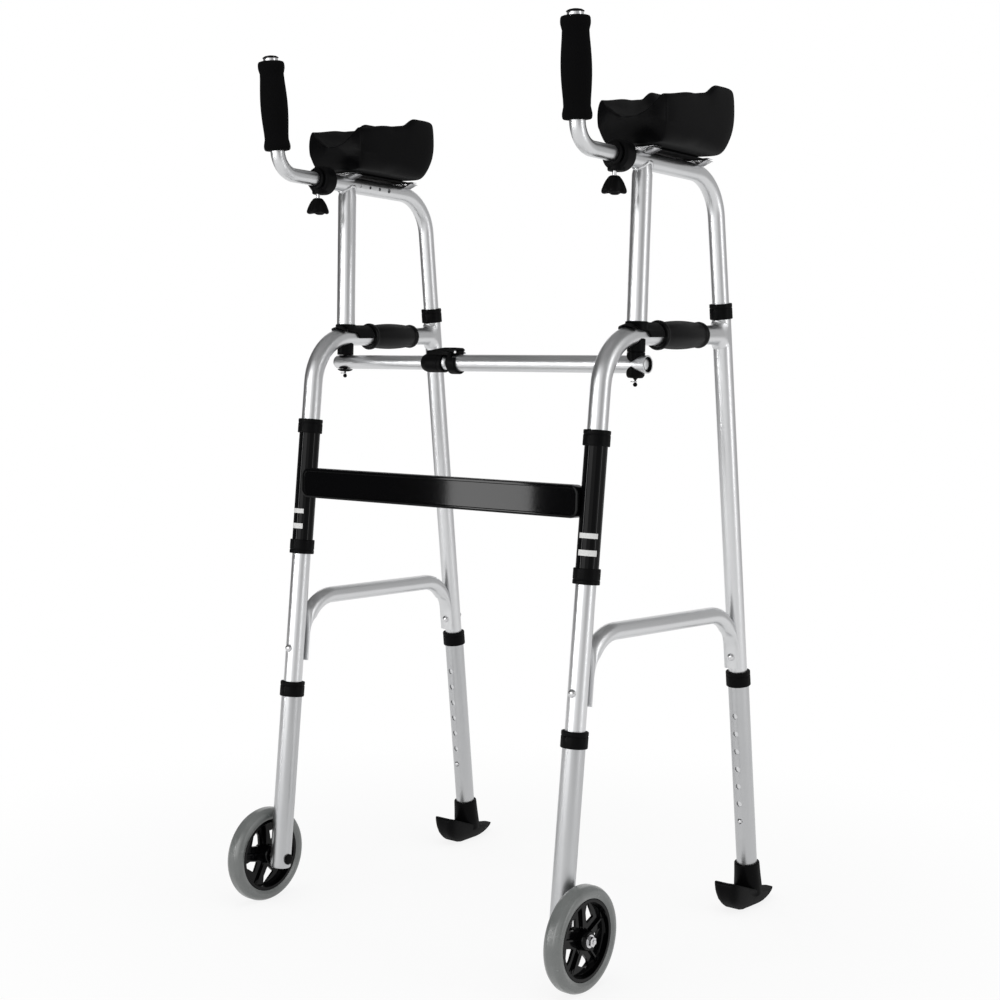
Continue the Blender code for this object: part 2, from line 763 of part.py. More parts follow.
def wing_knob(name, side):
    """A bell-shaped knob with four lobes, on a plain screw."""
    height = 0.0240
    profile = [(0.0, 0.0120), (0.0026, 0.0120), (0.0026, 0.0), (0.0062, -0.0002), (0.0094, -0.0030)]
    profile += [(0.0110, -0.0085), (0.0122, -0.0150), (0.0128, -0.0205), (0.0112, -height), (0.0, -height + 0.0060)]
    knob = turned(profile, aim(Vector((0, 0, 0)), UP), 16)
    for vertex in knob.data.vertices:
        place = vertex.co
        if place.z < -0.001:
            depth = min(-place.z / height, 1.0)
            angle = place.xy.angle_signed(Vector((1, 0)), 0.0) if place.xy.length > 0 else 0.0
            swell = 1 + 0.21 * depth * cos(4 * angle)
            place.x *= swell
            place.y *= swell
    knob.data.transform(Matrix.Translation(arm_point(side, KNOB_Y, KNOB_TOP_Z)))
    finish(knob, f"wing_knob_{name}", MATT_BLACK, f"{name}_knob")


# Lower legs, feet and wheels

def extension(leg, side, bottom_z, top_z, bore_z, outward):
    """Outer leg tube, open at the top, with a row of height holes in one face."""
    axis = leg_axis(leg, side)
    stretch = 1 / abs(axis.z)
    length = (top_z - bottom_z) * stretch
    depth = (bore_z - bottom_z) * stretch
    profile = [
        (LEG_BORE, length),
        (LEG_R, length),
        (LEG_R, 0.0),
        (0.0, 0.0),
        (0.0, depth),
        (LEG_BORE, depth),
    ]
    outer = turned(profile, aim(leg(side, bottom_z), axis))
    normal = outward * leg_normal(leg, side)
    for step in range(HOLE_COUNT):
        middle = leg(side, BUTTON_Z) + axis * HOLE_PITCH * step
        outer = cut(outer, rod(middle, middle + normal * 0.02, 0.0040, 6))
    return outer


def leg_collar(leg, side, centre_z):
    """The ring at the mouth of a lower leg."""
    half = 0.010
    outer = 0.0165
    edge = 0.0012
    seat = LEG_R + 0.0004
    lip = 0.0045
    neck = FRAME_R + 0.0005
    profile = [
        (outer - edge, half),
        (outer, half - edge),
        (outer, -half),
        (seat, -half),
        (seat, half - lip),
        (neck, half - lip),
        (neck, half),
    ]
    return turned(profile, aim(leg(side, centre_z), leg_axis(leg, side)))


def snap_button(leg, side, outward):
    """A domed pin that fills the lowest hole."""
    middle = leg(side, BUTTON_Z)
    normal = outward * leg_normal(leg, side)
    profile = [
        (0.0, 0.0158),
        (0.0024, 0.0152),
        (0.0034, 0.0134),
        (0.0034, 0.0040),
        (0.0, 0.0040),
    ]
    return turned(profile, aim(middle, normal), 8)


def front_lower_leg(name, side):
    outer = extension(front_leg, side, 0.050, FRONT_COLLAR_Z + 0.0050, 0.090, 1)
    axle_y = FRONT_Y + FRONT_LEAN * AXLE_Z
    middle = frame_point(side, axle_y, AXLE_Z)
    outer = cut(outer, rod(middle - ACROSS * 0.03, middle + ACROSS * 0.03, 0.0044, 10))
    finish(outer, f"front_extension_{name}", ALUMINIUM, f"{name}_front_leg")
    ring = leg_collar(front_leg, side, FRONT_COLLAR_Z)
    finish(ring, f"front_collar_{name}", MATT_BLACK, f"{name}_front_leg")
    button = snap_button(front_leg, side, 1)
    finish(button, f"front_button_{name}", STEEL, f"{name}_front_button")


def rear_lower_leg(name, side):
    outer = extension(rear_leg, side, 0.0300, REAR_COLLAR_Z + 0.0050, 0.070, -1)
    finish(outer, f"rear_extension_{name}", ALUMINIUM, f"{name}_rear_leg")
    ring = leg_collar(rear_leg, side, REAR_COLLAR_Z)
    finish(ring, f"rear_collar_{name}", MATT_BLACK, f"{name}_rear_leg")
    button = snap_button(rear_leg, side, -1)
    finish(button, f"rear_button_{name}", STEEL, f"{name}_rear_button")


def axle(name, side):
    """Bolt through the leg and the hub: domed head inside, spacer, nut outside."""
    middle = Vector((0.0, FRONT_Y + FRONT_LEAN * AXLE_Z, AXLE_Z))
    profile = [
        (0.0, 0.2824),
        (0.0040, 0.2824),
        (0.0040, 0.2810),
        (0.0072, 0.2806),
        (0.0072, 0.2775),
        (0.0040, 0.2775),
        (0.0040, 0.2192),
        (0.0072, 0.2192),
        (0.0060, 0.2170),
        (0.0, 0.2165),
    ]
    bolt = turned(profile, aim(middle, ACROSS * side, UP), 10)
    finish(bolt, f"axle_{name}", STEEL, f"{name}_front_leg")


def wheel_frame(side):
    middle = Vector((side * WHEEL_X, FRONT_Y + FRONT_LEAN * AXLE_Z, AXLE_Z))
    return aim(middle, ACROSS * side, UP)


def tyre(name, side):
    inner = 0.0492
    half = 0.0118
    profile = [
        (0.0560, half),
        (0.0612, half - 0.0030),
        (WHEEL_R, half - 0.0075),
        (WHEEL_R, 0.0075 - half),
        (0.0612, 0.0030 - half),
        (0.0560, -half),
        (inner, 0.0020 - half),
        (inner, half - 0.0020),
    ]
    ring = turned(profile, wheel_frame(side), WHEEL_STEPS, pi / WHEEL_STEPS)
    finish(ring, f"tyre_{name}", TYRE_GREY, f"{name}_wheel")


def rim(name, side):
    """Moulded wheel centre: hub, dished web with five kite openings, and a flanged ring."""
    rim_r = 0.0488
    half = 0.0100
    hub = 0.0135
    profile = [
        (0.0115, hub),
        (0.0135, 0.0035),
        (0.0430, 0.0025),
        (0.0445, half),
        (rim_r, half),
        (rim_r, -half),
        (0.0445, -half),
        (0.0430, -0.0025),
        (0.0135, -0.0035),
        (0.0115, -hub),
        (0.0045, -hub),
        (0.0045, hub),
    ]
    centre = turned(profile, wheel_frame(side), WHEEL_STEPS, pi / WHEEL_STEPS)
    kite = [(0.0190, 0.0), (0.0295, -0.0082), (0.0400, -0.0108), (0.0400, 0.0108), (0.0295, 0.0082)]
    first = radians(27.0 if side < 0 else -29.0)
    for step in range(5):
        turn = Matrix.Rotation(first + 2 * pi * step / 5, 4, "Z")
        centre = cut(centre, plate(kite, 0.03, wheel_frame(side) @ turn))
    finish(centre, f"rim_{name}", GLOSS_BLACK, f"{name}_wheel")


def foot(name, side):
    """Tapered socket on a boat-shaped glide with a broad upturned front and a narrow tail."""
    axis = leg_axis(rear_leg, side)
    socket_profile = [(0.0, 0.0455), (0.0162, 0.0455), (0.0171, 0.0445), (0.0200, 0.0), (0.0, 0.0)]
    socket = turned(socket_profile, aim(rear_leg(side, 0.0165), axis), 16)
    stations = [
        (0.1505, 0.0440, 0.0355, 0.0120),
        (0.1525, 0.0455, 0.0260, 0.0162),
        (0.1590, 0.0435, 0.0150, 0.0180),
        (0.1720, 0.0390, 0.0050, 0.0188),
        (0.1900, 0.0330, 0.0000, 0.0190),
        (0.2260, 0.0240, 0.0000, 0.0180),
        (0.2460, 0.0213, 0.0045, 0.0142),
        (0.2630, 0.0211, 0.0125, 0.0082),
        (0.2745, 0.0220, 0.0176, 0.0034),
    ]
    section = [(0.42, 0.0), (0.72, 0.14), (0.93, 0.50), (1.0, 0.94), (0.94, 1.0)]
    shape = bmesh.new()
    loops = []
    for y, top, bottom, half in stations:
        outline = section + [(-across, rise) for across, rise in reversed(section)]
        points = [(across * half, bottom + rise * (top - bottom)) for across, rise in outline]
        loops.append([shape.verts.new(frame_point(side, y, z, out)) for out, z in points])
    shoe = join(socket, loft(loops, shape, "glide"))
    hole = rod(rear_leg(side, 0.0296), rear_leg(side, 0.080), LEG_R + 0.0004)
    finish(cut(shoe, hole), f"foot_{name}", MATT_BLACK, f"{name}_rear_leg")


# Cross tubes, pins and clip

def bar_frame(x):
    return aim(Vector((x, PIN_Y, BAR_Z)), ACROSS, UP)


def pin_hole(side):
    pin = pin_point(side, BAR_Z)
    return rod(pin - UP * 0.02, pin + UP * 0.02, 0.0034, 8)


def left_cross_tube():
    """The thinner tube, with domed ends."""
    start = -0.2590
    end = -0.0520
    length = end - start
    profile = [
        (0.0, length),
        (0.0052, length - 0.0010),
        (0.0084, length - 0.0040),
        (LEFT_BAR_R, length - 0.0075),
        (LEFT_BAR_R, 0.0075),
        (0.0084, 0.0036),
        (0.0052, 0.0008),
        (0.0, 0.0),
    ]
    bar = cut(turned(profile, bar_frame(start)), pin_hole(-1))
    finish(bar, "cross_tube_left", ALUMINIUM, "left_bar")


def right_cross_tube():
    """The thicker tube, with a plug in its outer end."""
    start = -0.0440
    end = 0.2560
    length = end - start
    profile = [
        (0.0, length + 0.0027),
        (0.0095, length + 0.0025),
        (RIGHT_BAR_R, length + 0.0010),
        (RIGHT_BAR_R, 0.0),
        (0.0, 0.0),
    ]
    bar = cut(turned(profile, bar_frame(start)), pin_hole(1))
    finish(bar, "cross_tube_right", ALUMINIUM, "right_bar")


def ball_pin(side, ball_z, shoulder):
    """A pin whose lower end carries a shoulder and a small ball."""
    pin = pin_point(side, 0.0)
    ball_r = 0.0027
    profile = [(0.0, PIN_TOP_Z), (0.0024, PIN_TOP_Z), (0.0029, PIN_TOP_Z - 0.001)] + shoulder
    profile += [(0.0011, shoulder[-1][1] - 0.0010), (0.0011, ball_z + 0.0022)]
    profile += [(ball_r * cos(radians(a)), ball_z + ball_r * sin(radians(a))) for a in (35, -10, -55)]
    profile.append((0.0, ball_z - ball_r))
    return turned(profile, aim(pin, UP), 10)


def left_pivot_pin():
    """The pin with a thin dished washer under the tube."""
    top = BAR_Z - LEFT_BAR_R - GAP
    shoulder = [(0.0029, top), (0.0098, top), (0.0104, top - 0.0010), (0.0070, top - 0.0028), (0.0024, top - 0.0036)]
    finish(ball_pin(-1, 0.7200, shoulder), "pivot_pin_left", MATT_BLACK, "left_bar")


def right_pivot_pin():
    """The pin with two cups coped to the tube, one above and one below it."""
    shoulder = [(0.0029, 0.7225), (0.0024, 0.7212)]
    body_pin = ball_pin(1, 0.7145, shoulder)
    top = RIGHT_BOSS_Z - GAP
    upper = [(0.0, top), (0.0112, top), (0.0112, 0.7405), (0.0, 0.7405)]
    lower = [(0.0, 0.7375), (0.0112, 0.7375), (0.0112, 0.7258), (0.0088, 0.7226), (0.0, 0.7222)]
    place = aim(pin_point(1, 0.0), UP)
    start = Vector((0.20, PIN_Y, BAR_Z))
    end = Vector((0.28, PIN_Y, BAR_Z))
    for profile in (upper, lower):
        cup = cut(turned(profile, place, 14), rod(start, end, RIGHT_BAR_R + 2 * GAP))
        body_pin = join(body_pin, cup)
    finish(body_pin, "pivot_pin_right", MATT_BLACK, "right_bar")


def clip_socket():
    """Sleeve on the left tube's end, with the catch that the lever drops over."""
    start = -0.0937
    length = 0.0349
    bore = LEFT_BAR_R + GAP
    profile = [
        (0.0122, length),
        (0.0129, length - 0.0010),
        (0.0129, 0.0075),
        (0.0116, 0.0025),
        (0.0103, 0.0),
        (bore, 0.0),
        (bore, length),
    ]
    sleeve = turned(profile, bar_frame(start), 16)
    catch = box((-0.0735, PIN_Y - 0.0034, BAR_Z + 0.0115), (-0.0660, PIN_Y + 0.0034, BAR_Z + 0.0141))
    finish(join(sleeve, catch), "clip_socket", MATT_BLACK, "left_bar")


def across_bar(x, z, radius, half, steps=12):
    """A rod across the bar, along Y."""
    middle = Vector((x, PIN_Y, z))
    return rod(middle - ALONG * half, middle + ALONG * half, radius, steps)


def clip_collar():
    """Cap over the right tube's end, with the lug of the lever between two pockets."""
    outer = 0.0148
    start = -0.0481
    length = 0.0141
    bore = RIGHT_BAR_R + GAP
    profile = [
        (0.0, length),
        (outer - 0.0008, length),
        (outer, length - 0.0010),
        (outer, 0.0015),
        (outer - 0.0015, 0.0),
        (0.0, 0.0),
    ]
    collar = turned(profile, bar_frame(start), 16)
    inside = rod(Vector((start + 0.0038, PIN_Y, BAR_Z)), Vector((0.0, PIN_Y, BAR_Z)), bore)
    lug = box((RIVET_X - 0.0038, PIN_Y - 0.0048, BAR_Z + 0.0105), (RIVET_X + 0.0038, PIN_Y + 0.0048, RIVET_Z))
    collar = join(collar, lug, across_bar(RIVET_X, RIVET_Z, 0.0033, 0.0048))
    rivet_hole = across_bar(RIVET_X, RIVET_Z, 0.0022, 0.03, 8)
    collar = cut(collar, inside, rivet_hole)
    for face in (-1, 1):
        near = PIN_Y + face * 0.0050
        far = PIN_Y + face * 0.0300
        low = (-0.0412, min(near, far), BAR_Z + 0.0070)
        high = (-0.0100, max(near, far), BAR_Z + 0.0300)
        collar = cut(collar, box(low, high))
    finish(collar, "clip_collar", MATT_BLACK, "right_bar")


def latch_lever():
    """Channel-shaped lever: two cheeks under a top plate, with a lip that hooks the catch."""
    side_view = aim(Vector((0.0, PIN_Y, BAR_Z)), -ALONG)
    outline = [(-0.0850, 0.0100), (-0.0505, 0.0100), (-0.0492, 0.0145), (-0.0395, 0.0145), (-0.0395, 0.0105),
               (-0.0345, 0.0105), (-0.0318, 0.0122), (-0.0315, 0.0134), (-0.0345, 0.0190), (-0.0360, 0.0200),
               (-0.0545, 0.0200), (-0.0780, 0.0166), (-0.0845, 0.0160), (-0.0850, 0.0152)]
    channel = [(-0.0815, 0.0), (-0.0200, 0.0), (-0.0200, 0.0175), (-0.0545, 0.0175), (-0.0815, 0.0143)]
    lever = plate(outline, 0.0170, side_view)
    room = rod(Vector((-0.10, PIN_Y, BAR_Z)), Vector((-0.05, PIN_Y, BAR_Z)), 0.0133, 20)
    lever = cut(lever, plate(channel, 0.0102, side_view), room)
    rivet = across_bar(RIVET_X, RIVET_Z, 0.0018, 0.0098, 8)
    finish(join(lever, rivet), "latch_lever", MATT_BLACK, "latch")


# Build

def build_side(name, side):
    front_pivot = front_leg(side, BRACE_Z)
    body(f"{name}_side", front_pivot, "front")
    body(f"{name}_bar", pin_point(side, BAR_Z), f"{name}_side")
    body(f"{name}_front_leg", front_leg(side, FRONT_COLLAR_Z), f"{name}_side")
    body(f"{name}_rear_leg", rear_leg(side, REAR_COLLAR_Z), f"{name}_side")
    body(f"{name}_front_button", front_leg(side, BUTTON_Z), f"{name}_side")
    body(f"{name}_rear_button", rear_leg(side, BUTTON_Z), f"{name}_side")
    axle_y = FRONT_Y + FRONT_LEAN * AXLE_Z
    body(f"{name}_wheel", (side * WHEEL_X, axle_y, AXLE_Z), f"{name}_front_leg")
    body(f"{name}_bush", arm_point(side, CLAMP_FRONT_Y, ARM_Z), f"{name}_side")
    body(f"{name}_handle", arm_point(side, CLAMP_FRONT_Y, ARM_Z), f"{name}_bush")
    body(f"{name}_knob", arm_point(side, KNOB_Y, KNOB_TOP_Z), f"{name}_side")
    pieces = (sleeve_collars, front_frame_tube, rear_upright, rear_top_collar, side_brace, forearm_frame,
              pivot_bracket, hand_grip, pad, pad_mount, handle_clamp, handle_bush, handle_tube, foam_grip,
              wing_knob, front_lower_leg, rear_lower_leg, axle, tyre, rim, foot)
    for piece in pieces:
        piece(name, side)


body("front", (0.0, 0.0, 0.0))
front_brace()
for side_name, side_sign in SIDES:
    build_side(side_name, side_sign)
body("latch", (RIVET_X, PIN_Y, RIVET_Z), "right_bar")
left_cross_tube()
left_pivot_pin()
clip_socket()
right_cross_tube()
right_pivot_pin()
clip_collar()
latch_lever()
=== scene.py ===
import json
from math import cos, pi, radians, sin, sqrt, tan

import bmesh
import bpy
from mathutils import Matrix, Vector

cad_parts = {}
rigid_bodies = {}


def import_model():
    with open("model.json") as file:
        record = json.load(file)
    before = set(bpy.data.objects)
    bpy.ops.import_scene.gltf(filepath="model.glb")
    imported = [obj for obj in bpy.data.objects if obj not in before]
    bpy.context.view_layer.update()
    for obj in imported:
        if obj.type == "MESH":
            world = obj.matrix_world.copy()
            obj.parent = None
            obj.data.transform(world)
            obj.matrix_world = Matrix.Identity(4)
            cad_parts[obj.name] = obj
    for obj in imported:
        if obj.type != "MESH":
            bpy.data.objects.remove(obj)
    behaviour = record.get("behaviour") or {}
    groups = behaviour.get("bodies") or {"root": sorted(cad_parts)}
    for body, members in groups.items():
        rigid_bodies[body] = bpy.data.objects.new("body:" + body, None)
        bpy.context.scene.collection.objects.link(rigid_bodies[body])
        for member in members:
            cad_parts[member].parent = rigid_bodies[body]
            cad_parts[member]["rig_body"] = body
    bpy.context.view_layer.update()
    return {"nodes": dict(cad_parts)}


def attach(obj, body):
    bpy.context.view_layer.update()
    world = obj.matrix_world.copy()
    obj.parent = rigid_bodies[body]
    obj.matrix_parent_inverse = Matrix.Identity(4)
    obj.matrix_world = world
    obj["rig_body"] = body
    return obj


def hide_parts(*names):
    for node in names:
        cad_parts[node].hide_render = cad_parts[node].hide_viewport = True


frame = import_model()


# Camera
# It stands to the front right of the walker at chest height and looks slightly down.
# The picture is square, and the lens is that of a short telephoto.

scene = bpy.context.scene
eye = Vector((1.3161, -1.7522, 0.6989))
yaw = radians(37.61)
pitch = radians(-3.735)
roll = radians(1.33)
sensor = 36.0
focal_in_frames = 1.6178

camera = bpy.data.objects.new("camera", bpy.data.cameras.new("camera"))
camera.data.sensor_width = sensor
camera.data.lens = sensor * focal_in_frames
aim = Matrix.Rotation(yaw, 4, "Z") @ Matrix.Rotation(pi / 2 + pitch, 4, "X")
camera.matrix_world = Matrix.Translation(eye) @ aim @ Matrix.Rotation(roll, 4, "Z")
scene.collection.objects.link(camera)
scene.camera = camera


# Studio
# A white paper floor runs on to a white surround. A broad soft box stands in front of the walker
# and another hangs over it. Grey cards and one bright strip, all out of view, draw the dark and
# the light lines along the tubes.

class Value:
    """A socket of a node tree. Maths on it adds Math nodes."""

    def __init__(self, nodes, socket):
        self.nodes = nodes
        self.socket = socket

    def maths(self, operation, first, second):
        return self.nodes.node("ShaderNodeMath", {"operation": operation}, {0: first, 1: second})

    def __add__(self, other):
        return self.maths("ADD", self, other)

    def __radd__(self, other):
        return self.maths("ADD", other, self)

    def __mul__(self, other):
        return self.maths("MULTIPLY", self, other)

    def __rmul__(self, other):
        return self.maths("MULTIPLY", other, self)

    def __or__(self, other):
        return self.maths("MAXIMUM", self, other)


class Nodes:
    """The node tree of a material or of the surround."""

    def __init__(self, owner):
        owner.use_nodes = True
        self.tree = owner.node_tree

    def feed(self, node, sockets):
        for name, value in sockets.items():
            if isinstance(value, Value):
                self.tree.links.new(value.socket, node.inputs[name])
            else:
                node.inputs[name].default_value = value

    def node(self, kind, settings=None, sockets=None, output=0):
        made = self.tree.nodes.new(kind)
        for setting, value in (settings or {}).items():
            setattr(made, setting, value)
        self.feed(made, sockets or {})
        return Value(self, made.outputs[output])

    def in_sight(self):
        """1 for rays straight from the camera, through glass or off a gloss, 0 for other light."""
        straight, through, reflected = [self.node("ShaderNodeLightPath", output=f"Is {kind} Ray")
                                        for kind in ("Camera", "Transmission", "Glossy")]
        return straight | through | reflected


class Finish(Nodes):
    """A surface finish: one Principled material and the nodes that vary it."""

    def __init__(self, name, colour, roughness, metallic=0.0, specular=0.5):
        self.material = bpy.data.materials.new(name)
        super().__init__(self.material)
        self.shader = self.tree.nodes["Principled BSDF"]
        self.colour = (*colour, 1.0)
        self.feed(self.shader, {"Base Color": self.colour, "Roughness": roughness, "Metallic": metallic,
                                "Specular IOR Level": specular})
        self.place = self.node("ShaderNodeTexCoord", output="Object")

    def noise(self, per_metre, detail, stretch=None):
        place = self.place
        if stretch:
            place = self.node("ShaderNodeMapping", None, {"Vector": place, "Scale": stretch})
        return self.node("ShaderNodeTexNoise", None, {"Vector": place, "Scale": per_metre, "Detail": detail})

    def cells(self, per_metre):
        return self.node("ShaderNodeTexVoronoi", None, {"Vector": self.place, "Scale": per_metre})

    def tint(self, other, share):
        """Mixes the base colour toward another by a share that varies over the surface."""
        mixed = self.node("ShaderNodeMix", {"data_type": "RGBA"},
                          {"Factor": share, 6: self.colour, 7: (*other, 1.0)}, output=2)
        self.feed(self.shader, {"Base Color": mixed})

    def rough(self, value):
        self.feed(self.shader, {"Roughness": value})

    def dull_edge(self, value):
        """Roughens what is seen edge-on, as the grain of a moulded skin does."""
        facing_away = self.node("ShaderNodeLayerWeight", None, {"Blend": 0.5}, output=1)
        self.rough(value + facing_away * facing_away * facing_away * 0.6)

    def bump(self, height, depth, strength):
        bumped = self.node("ShaderNodeBump", None,
                           {"Height": height, "Distance": depth, "Strength": strength})
        self.feed(self.shader, {"Normal": bumped})


def mesh_object(shape, name, material=None):
    """Writes a bmesh as an object that sits at the origin."""
    mesh = bpy.data.meshes.new(name)
    shape.to_mesh(mesh)
    shape.free()
    if material:
        mesh.materials.append(material)
    thing = bpy.data.objects.new(name, mesh)
    scene.collection.objects.link(thing)
    return thing


def studio_sheet(name, material, width, height, place):
    shape = bmesh.new()
    bmesh.ops.create_grid(shape, x_segments=1, y_segments=1, size=0.5,
                          matrix=place @ Matrix.Diagonal((width, height, 1.0, 1.0)))
    sheet = mesh_object(shape, name, material)
    return sheet


paper = Finish("studio_paper", (0.94, 0.94, 0.94), 0.9, specular=0.0)
distance = paper.node("ShaderNodeVectorMath", {"operation": "LENGTH"}, {0: paper.place}, output="Value")
whiteness = paper.node("ShaderNodeMapRange", {"interpolation_type": "SMOOTHSTEP"},
                       {"Value": distance, "From Min": 0.35, "From Max": 1.1, "To Min": 0.86, "To Max": 1.0})
white_paper = paper.node("ShaderNodeEmission", None, {"Strength": 1.0})
matt_paper = Value(paper, paper.shader.outputs[0])
blend = paper.node("ShaderNodeMixShader", None,
                   {"Fac": paper.in_sight() * whiteness, 1: matt_paper, 2: white_paper})
paper.feed(paper.tree.nodes["Material Output"], {"Surface": blend})
floor_width = 28.0
studio_sheet("studio_floor", paper.material, floor_width, floor_width, Matrix.Identity(4))

scene.world = bpy.data.worlds.new("surround")
surround = Nodes(scene.world)
ambient = 0.5
strength = surround.node("ShaderNodeMapRange", None,
                         {"Value": surround.in_sight(), "To Min": ambient, "To Max": 1.0})
surround.feed(surround.tree.nodes["Background"], {"Color": (1.0, 1.0, 1.0, 1.0), "Strength": strength})

heart = Vector((0.0, 0.0, 0.7))


def round_walker(turn, reach, height):
    """A place round the walker, turned to the left of the camera's direction in degrees."""
    toward_camera = Vector((eye.x, eye.y, 0.0)).normalized()
    return Matrix.Rotation(radians(-turn), 3, "Z") @ toward_camera * reach + Vector((0.0, 0.0, height))


def aimed(place, target):
    return Matrix.Translation(place) @ (target - place).to_track_quat("-Z", "Y").to_matrix().to_4x4()


def soft_box(name, place, width, height, watts):
    lamp = bpy.data.lights.new(name, "AREA")
    lamp.shape = "RECTANGLE"
    lamp.size = width
    lamp.size_y = height
    lamp.energy = watts
    holder = bpy.data.objects.new(name, lamp)
    holder.matrix_world = aimed(place, heart)
    scene.collection.objects.link(holder)


def grey_card(name, place, width, height, grey, target=heart):
    """A glowing card that only reflections see."""
    material = bpy.data.materials.new(name)
    tone = Nodes(material)
    glow = tone.node("ShaderNodeEmission", None, {"Color": (grey, grey, grey, 1.0)})
    tone.feed(tone.tree.nodes["Material Output"], {"Surface": glow})
    card = studio_sheet(name, material, width, height, aimed(place, target))
    card.visible_camera = False
    card.visible_diffuse = False
    card.visible_shadow = False
    card.visible_transmission = False


soft_box("front_box", round_walker(42.0, 3.0, 0.9), 1.9, 2.4, 24.0)
soft_box("side_box", round_walker(-60.0, 3.0, 0.9), 0.32, 2.4, 9.0)
soft_box("top_box", Vector((0.2, -0.4, 3.3)), 2.4, 2.4, 34.0)
grey_card("left_card", round_walker(118.0, 3.4, 1.2), 4.6, 4.6, 0.14)
grey_card("right_card", round_walker(-118.0, 3.4, 1.2), 4.6, 4.6, 0.55)
grey_card("front_card", round_walker(-26.0, 3.4, 1.2), 2.4, 4.6, 0.48)
grey_card("dark_card", round_walker(76.0, 3.7, 1.2), 1.7, 4.6, 0.1)
grey_card("bright_strip", Vector((-1.75, -2.55, 0.62)), 0.26, 1.2, 11.0, Vector((0.1, -0.19, 0.57)))
grey_card("ceiling_card", Vector((0.0, 0.0, 3.1)), 6.0, 6.0, 0.22)

scene.view_settings.view_transform = "Standard"


# Front brace
# A moulded crossbar with rounded ends and a raised rim, painted gloss black. It is fixed across the
# front of two black sleeves in which the front legs turn when the walker folds.

ACROSS = Vector((1.0, 0.0, 0.0))
ALONG = Vector((0.0, 1.0, 0.0))
UP = Vector((0.0, 0.0, 1.0))
both_sides = (("left", -1), ("right", 1))

sleeve_x = 0.2352
sleeve_y = -0.1772
frame_toe_out = 0.04
front_floor_y = -0.216
front_lean = 0.0789
merge_distance = 0.000001


def side_plane(side, y, z, out=0.0):
    """A point in the upright plane of one side frame, which toes out toward the back."""
    return Vector((side * (sleeve_x + frame_toe_out * (y - sleeve_y) + out), y, z))


def front_leg(side, z):
    return side_plane(side, front_floor_y + front_lean * z, z)


def facing(origin, axis, toward=ACROSS):
    """A place with +Z along the axis and +X as near as it can be to the other direction."""
    z = axis.normalized()
    if abs(z.dot(toward.normalized())) > 0.95:
        toward = UP if abs(z.z) < 0.9 else ALONG
    y = z.cross(toward).normalized()
    x = y.cross(z)
    return Matrix.Translation(origin) @ Matrix((x, y, z)).transposed().to_4x4()


def eased(outline, ease, steps=4):
    """Rounds the corners of an open outline with small arcs."""
    points = [Vector(point) for point in outline]
    soft = [points[0]]
    for before, corner, after in zip(points, points[1:], points[2:]):
        arrive = corner - before
        leave = after - corner
        turn = arrive.angle(leave)
        if turn < radians(4):
            soft.append(corner)
            continue
        trim = min(ease * tan(turn / 2), 0.45 * arrive.length, 0.45 * leave.length)
        near = corner - arrive.normalized() * trim
        far = corner + leave.normalized() * trim
        for step in range(steps + 1):
            share = step / steps
            soft.append(near * (1 - share) ** 2 + corner * 2 * share * (1 - share) + far * share ** 2)
    soft.append(points[-1])
    return [tuple(point) for point in soft]


def turned(outline, place, steps=64, shape=None):
    """Spins an outline of (radius, height) points round the place's own Z axis."""
    shape = shape or bmesh.new()
    known = set(shape.verts)
    verts = [shape.verts.new((radius, 0.0, height)) for radius, height in outline]
    pairs = list(zip(verts, verts[1:]))
    if outline[0][0] > 0.0 and outline[-1][0] > 0.0 and len(verts) > 2:
        pairs.append((verts[-1], verts[0]))
    edges = [shape.edges.new(pair) for pair in pairs]
    bmesh.ops.spin(shape, geom=verts + edges, cent=(0, 0, 0), axis=(0, 0, 1), dvec=(0, 0, 0),
                   angle=2 * pi, steps=steps, use_merge=True, use_duplicate=False)
    fresh = [vert for vert in shape.verts if vert not in known]
    bmesh.ops.remove_doubles(shape, verts=fresh, dist=merge_distance)
    fresh = [vert for vert in shape.verts if vert not in known]
    bmesh.ops.transform(shape, matrix=place, verts=fresh)
    return shape


def rod(start, end, radius, ease=0.0, steps=40, shape=None):
    length = (end - start).length
    outline = [(0.0, length), (radius, length), (radius, 0.0), (0.0, 0.0)]
    return turned(eased(outline, ease) if ease else outline, facing(start, end - start), steps, shape)


def solid(shape):
    """A bare object that a boolean modifier can work on."""
    bmesh.ops.recalc_face_normals(shape, faces=shape.faces)
    return mesh_object(shape, "solid")


def carved(shape, tool, operation="DIFFERENCE"):
    """Cuts one closed shape with another, or joins the two."""
    target = solid(shape)
    cutter = solid(tool)
    modifier = target.modifiers.new("carve", "BOOLEAN")
    modifier.operation = operation
    modifier.solver = "EXACT"
    modifier.object = cutter
    result = bmesh.new()
    result.from_object(target, bpy.context.evaluated_depsgraph_get())
    for thing in (target, cutter):
        mesh = thing.data
        bpy.data.objects.remove(thing)
        bpy.data.meshes.remove(mesh)
    return result


def sharp_edges(shape, angle):
    return [edge for edge in shape.edges
            if len(edge.link_faces) == 2 and edge.calc_face_angle() > radians(angle)]


def soften(shape, edges, width, segments=3):
    bmesh.ops.bevel(shape, geom=edges, offset=width, offset_type="OFFSET", segments=segments,
                    profile=0.5, affect="EDGES", material=-1, clamp_overlap=True)


def raised(shape, faces, height):
    """Pulls flat faces up into a solid of even height."""
    pulled = bmesh.ops.extrude_face_region(shape, geom=faces)["geom"]
    lifted = [part for part in pulled if isinstance(part, bmesh.types.BMVert)]
    bmesh.ops.translate(shape, vec=(0, 0, height), verts=lifted)
    return lifted


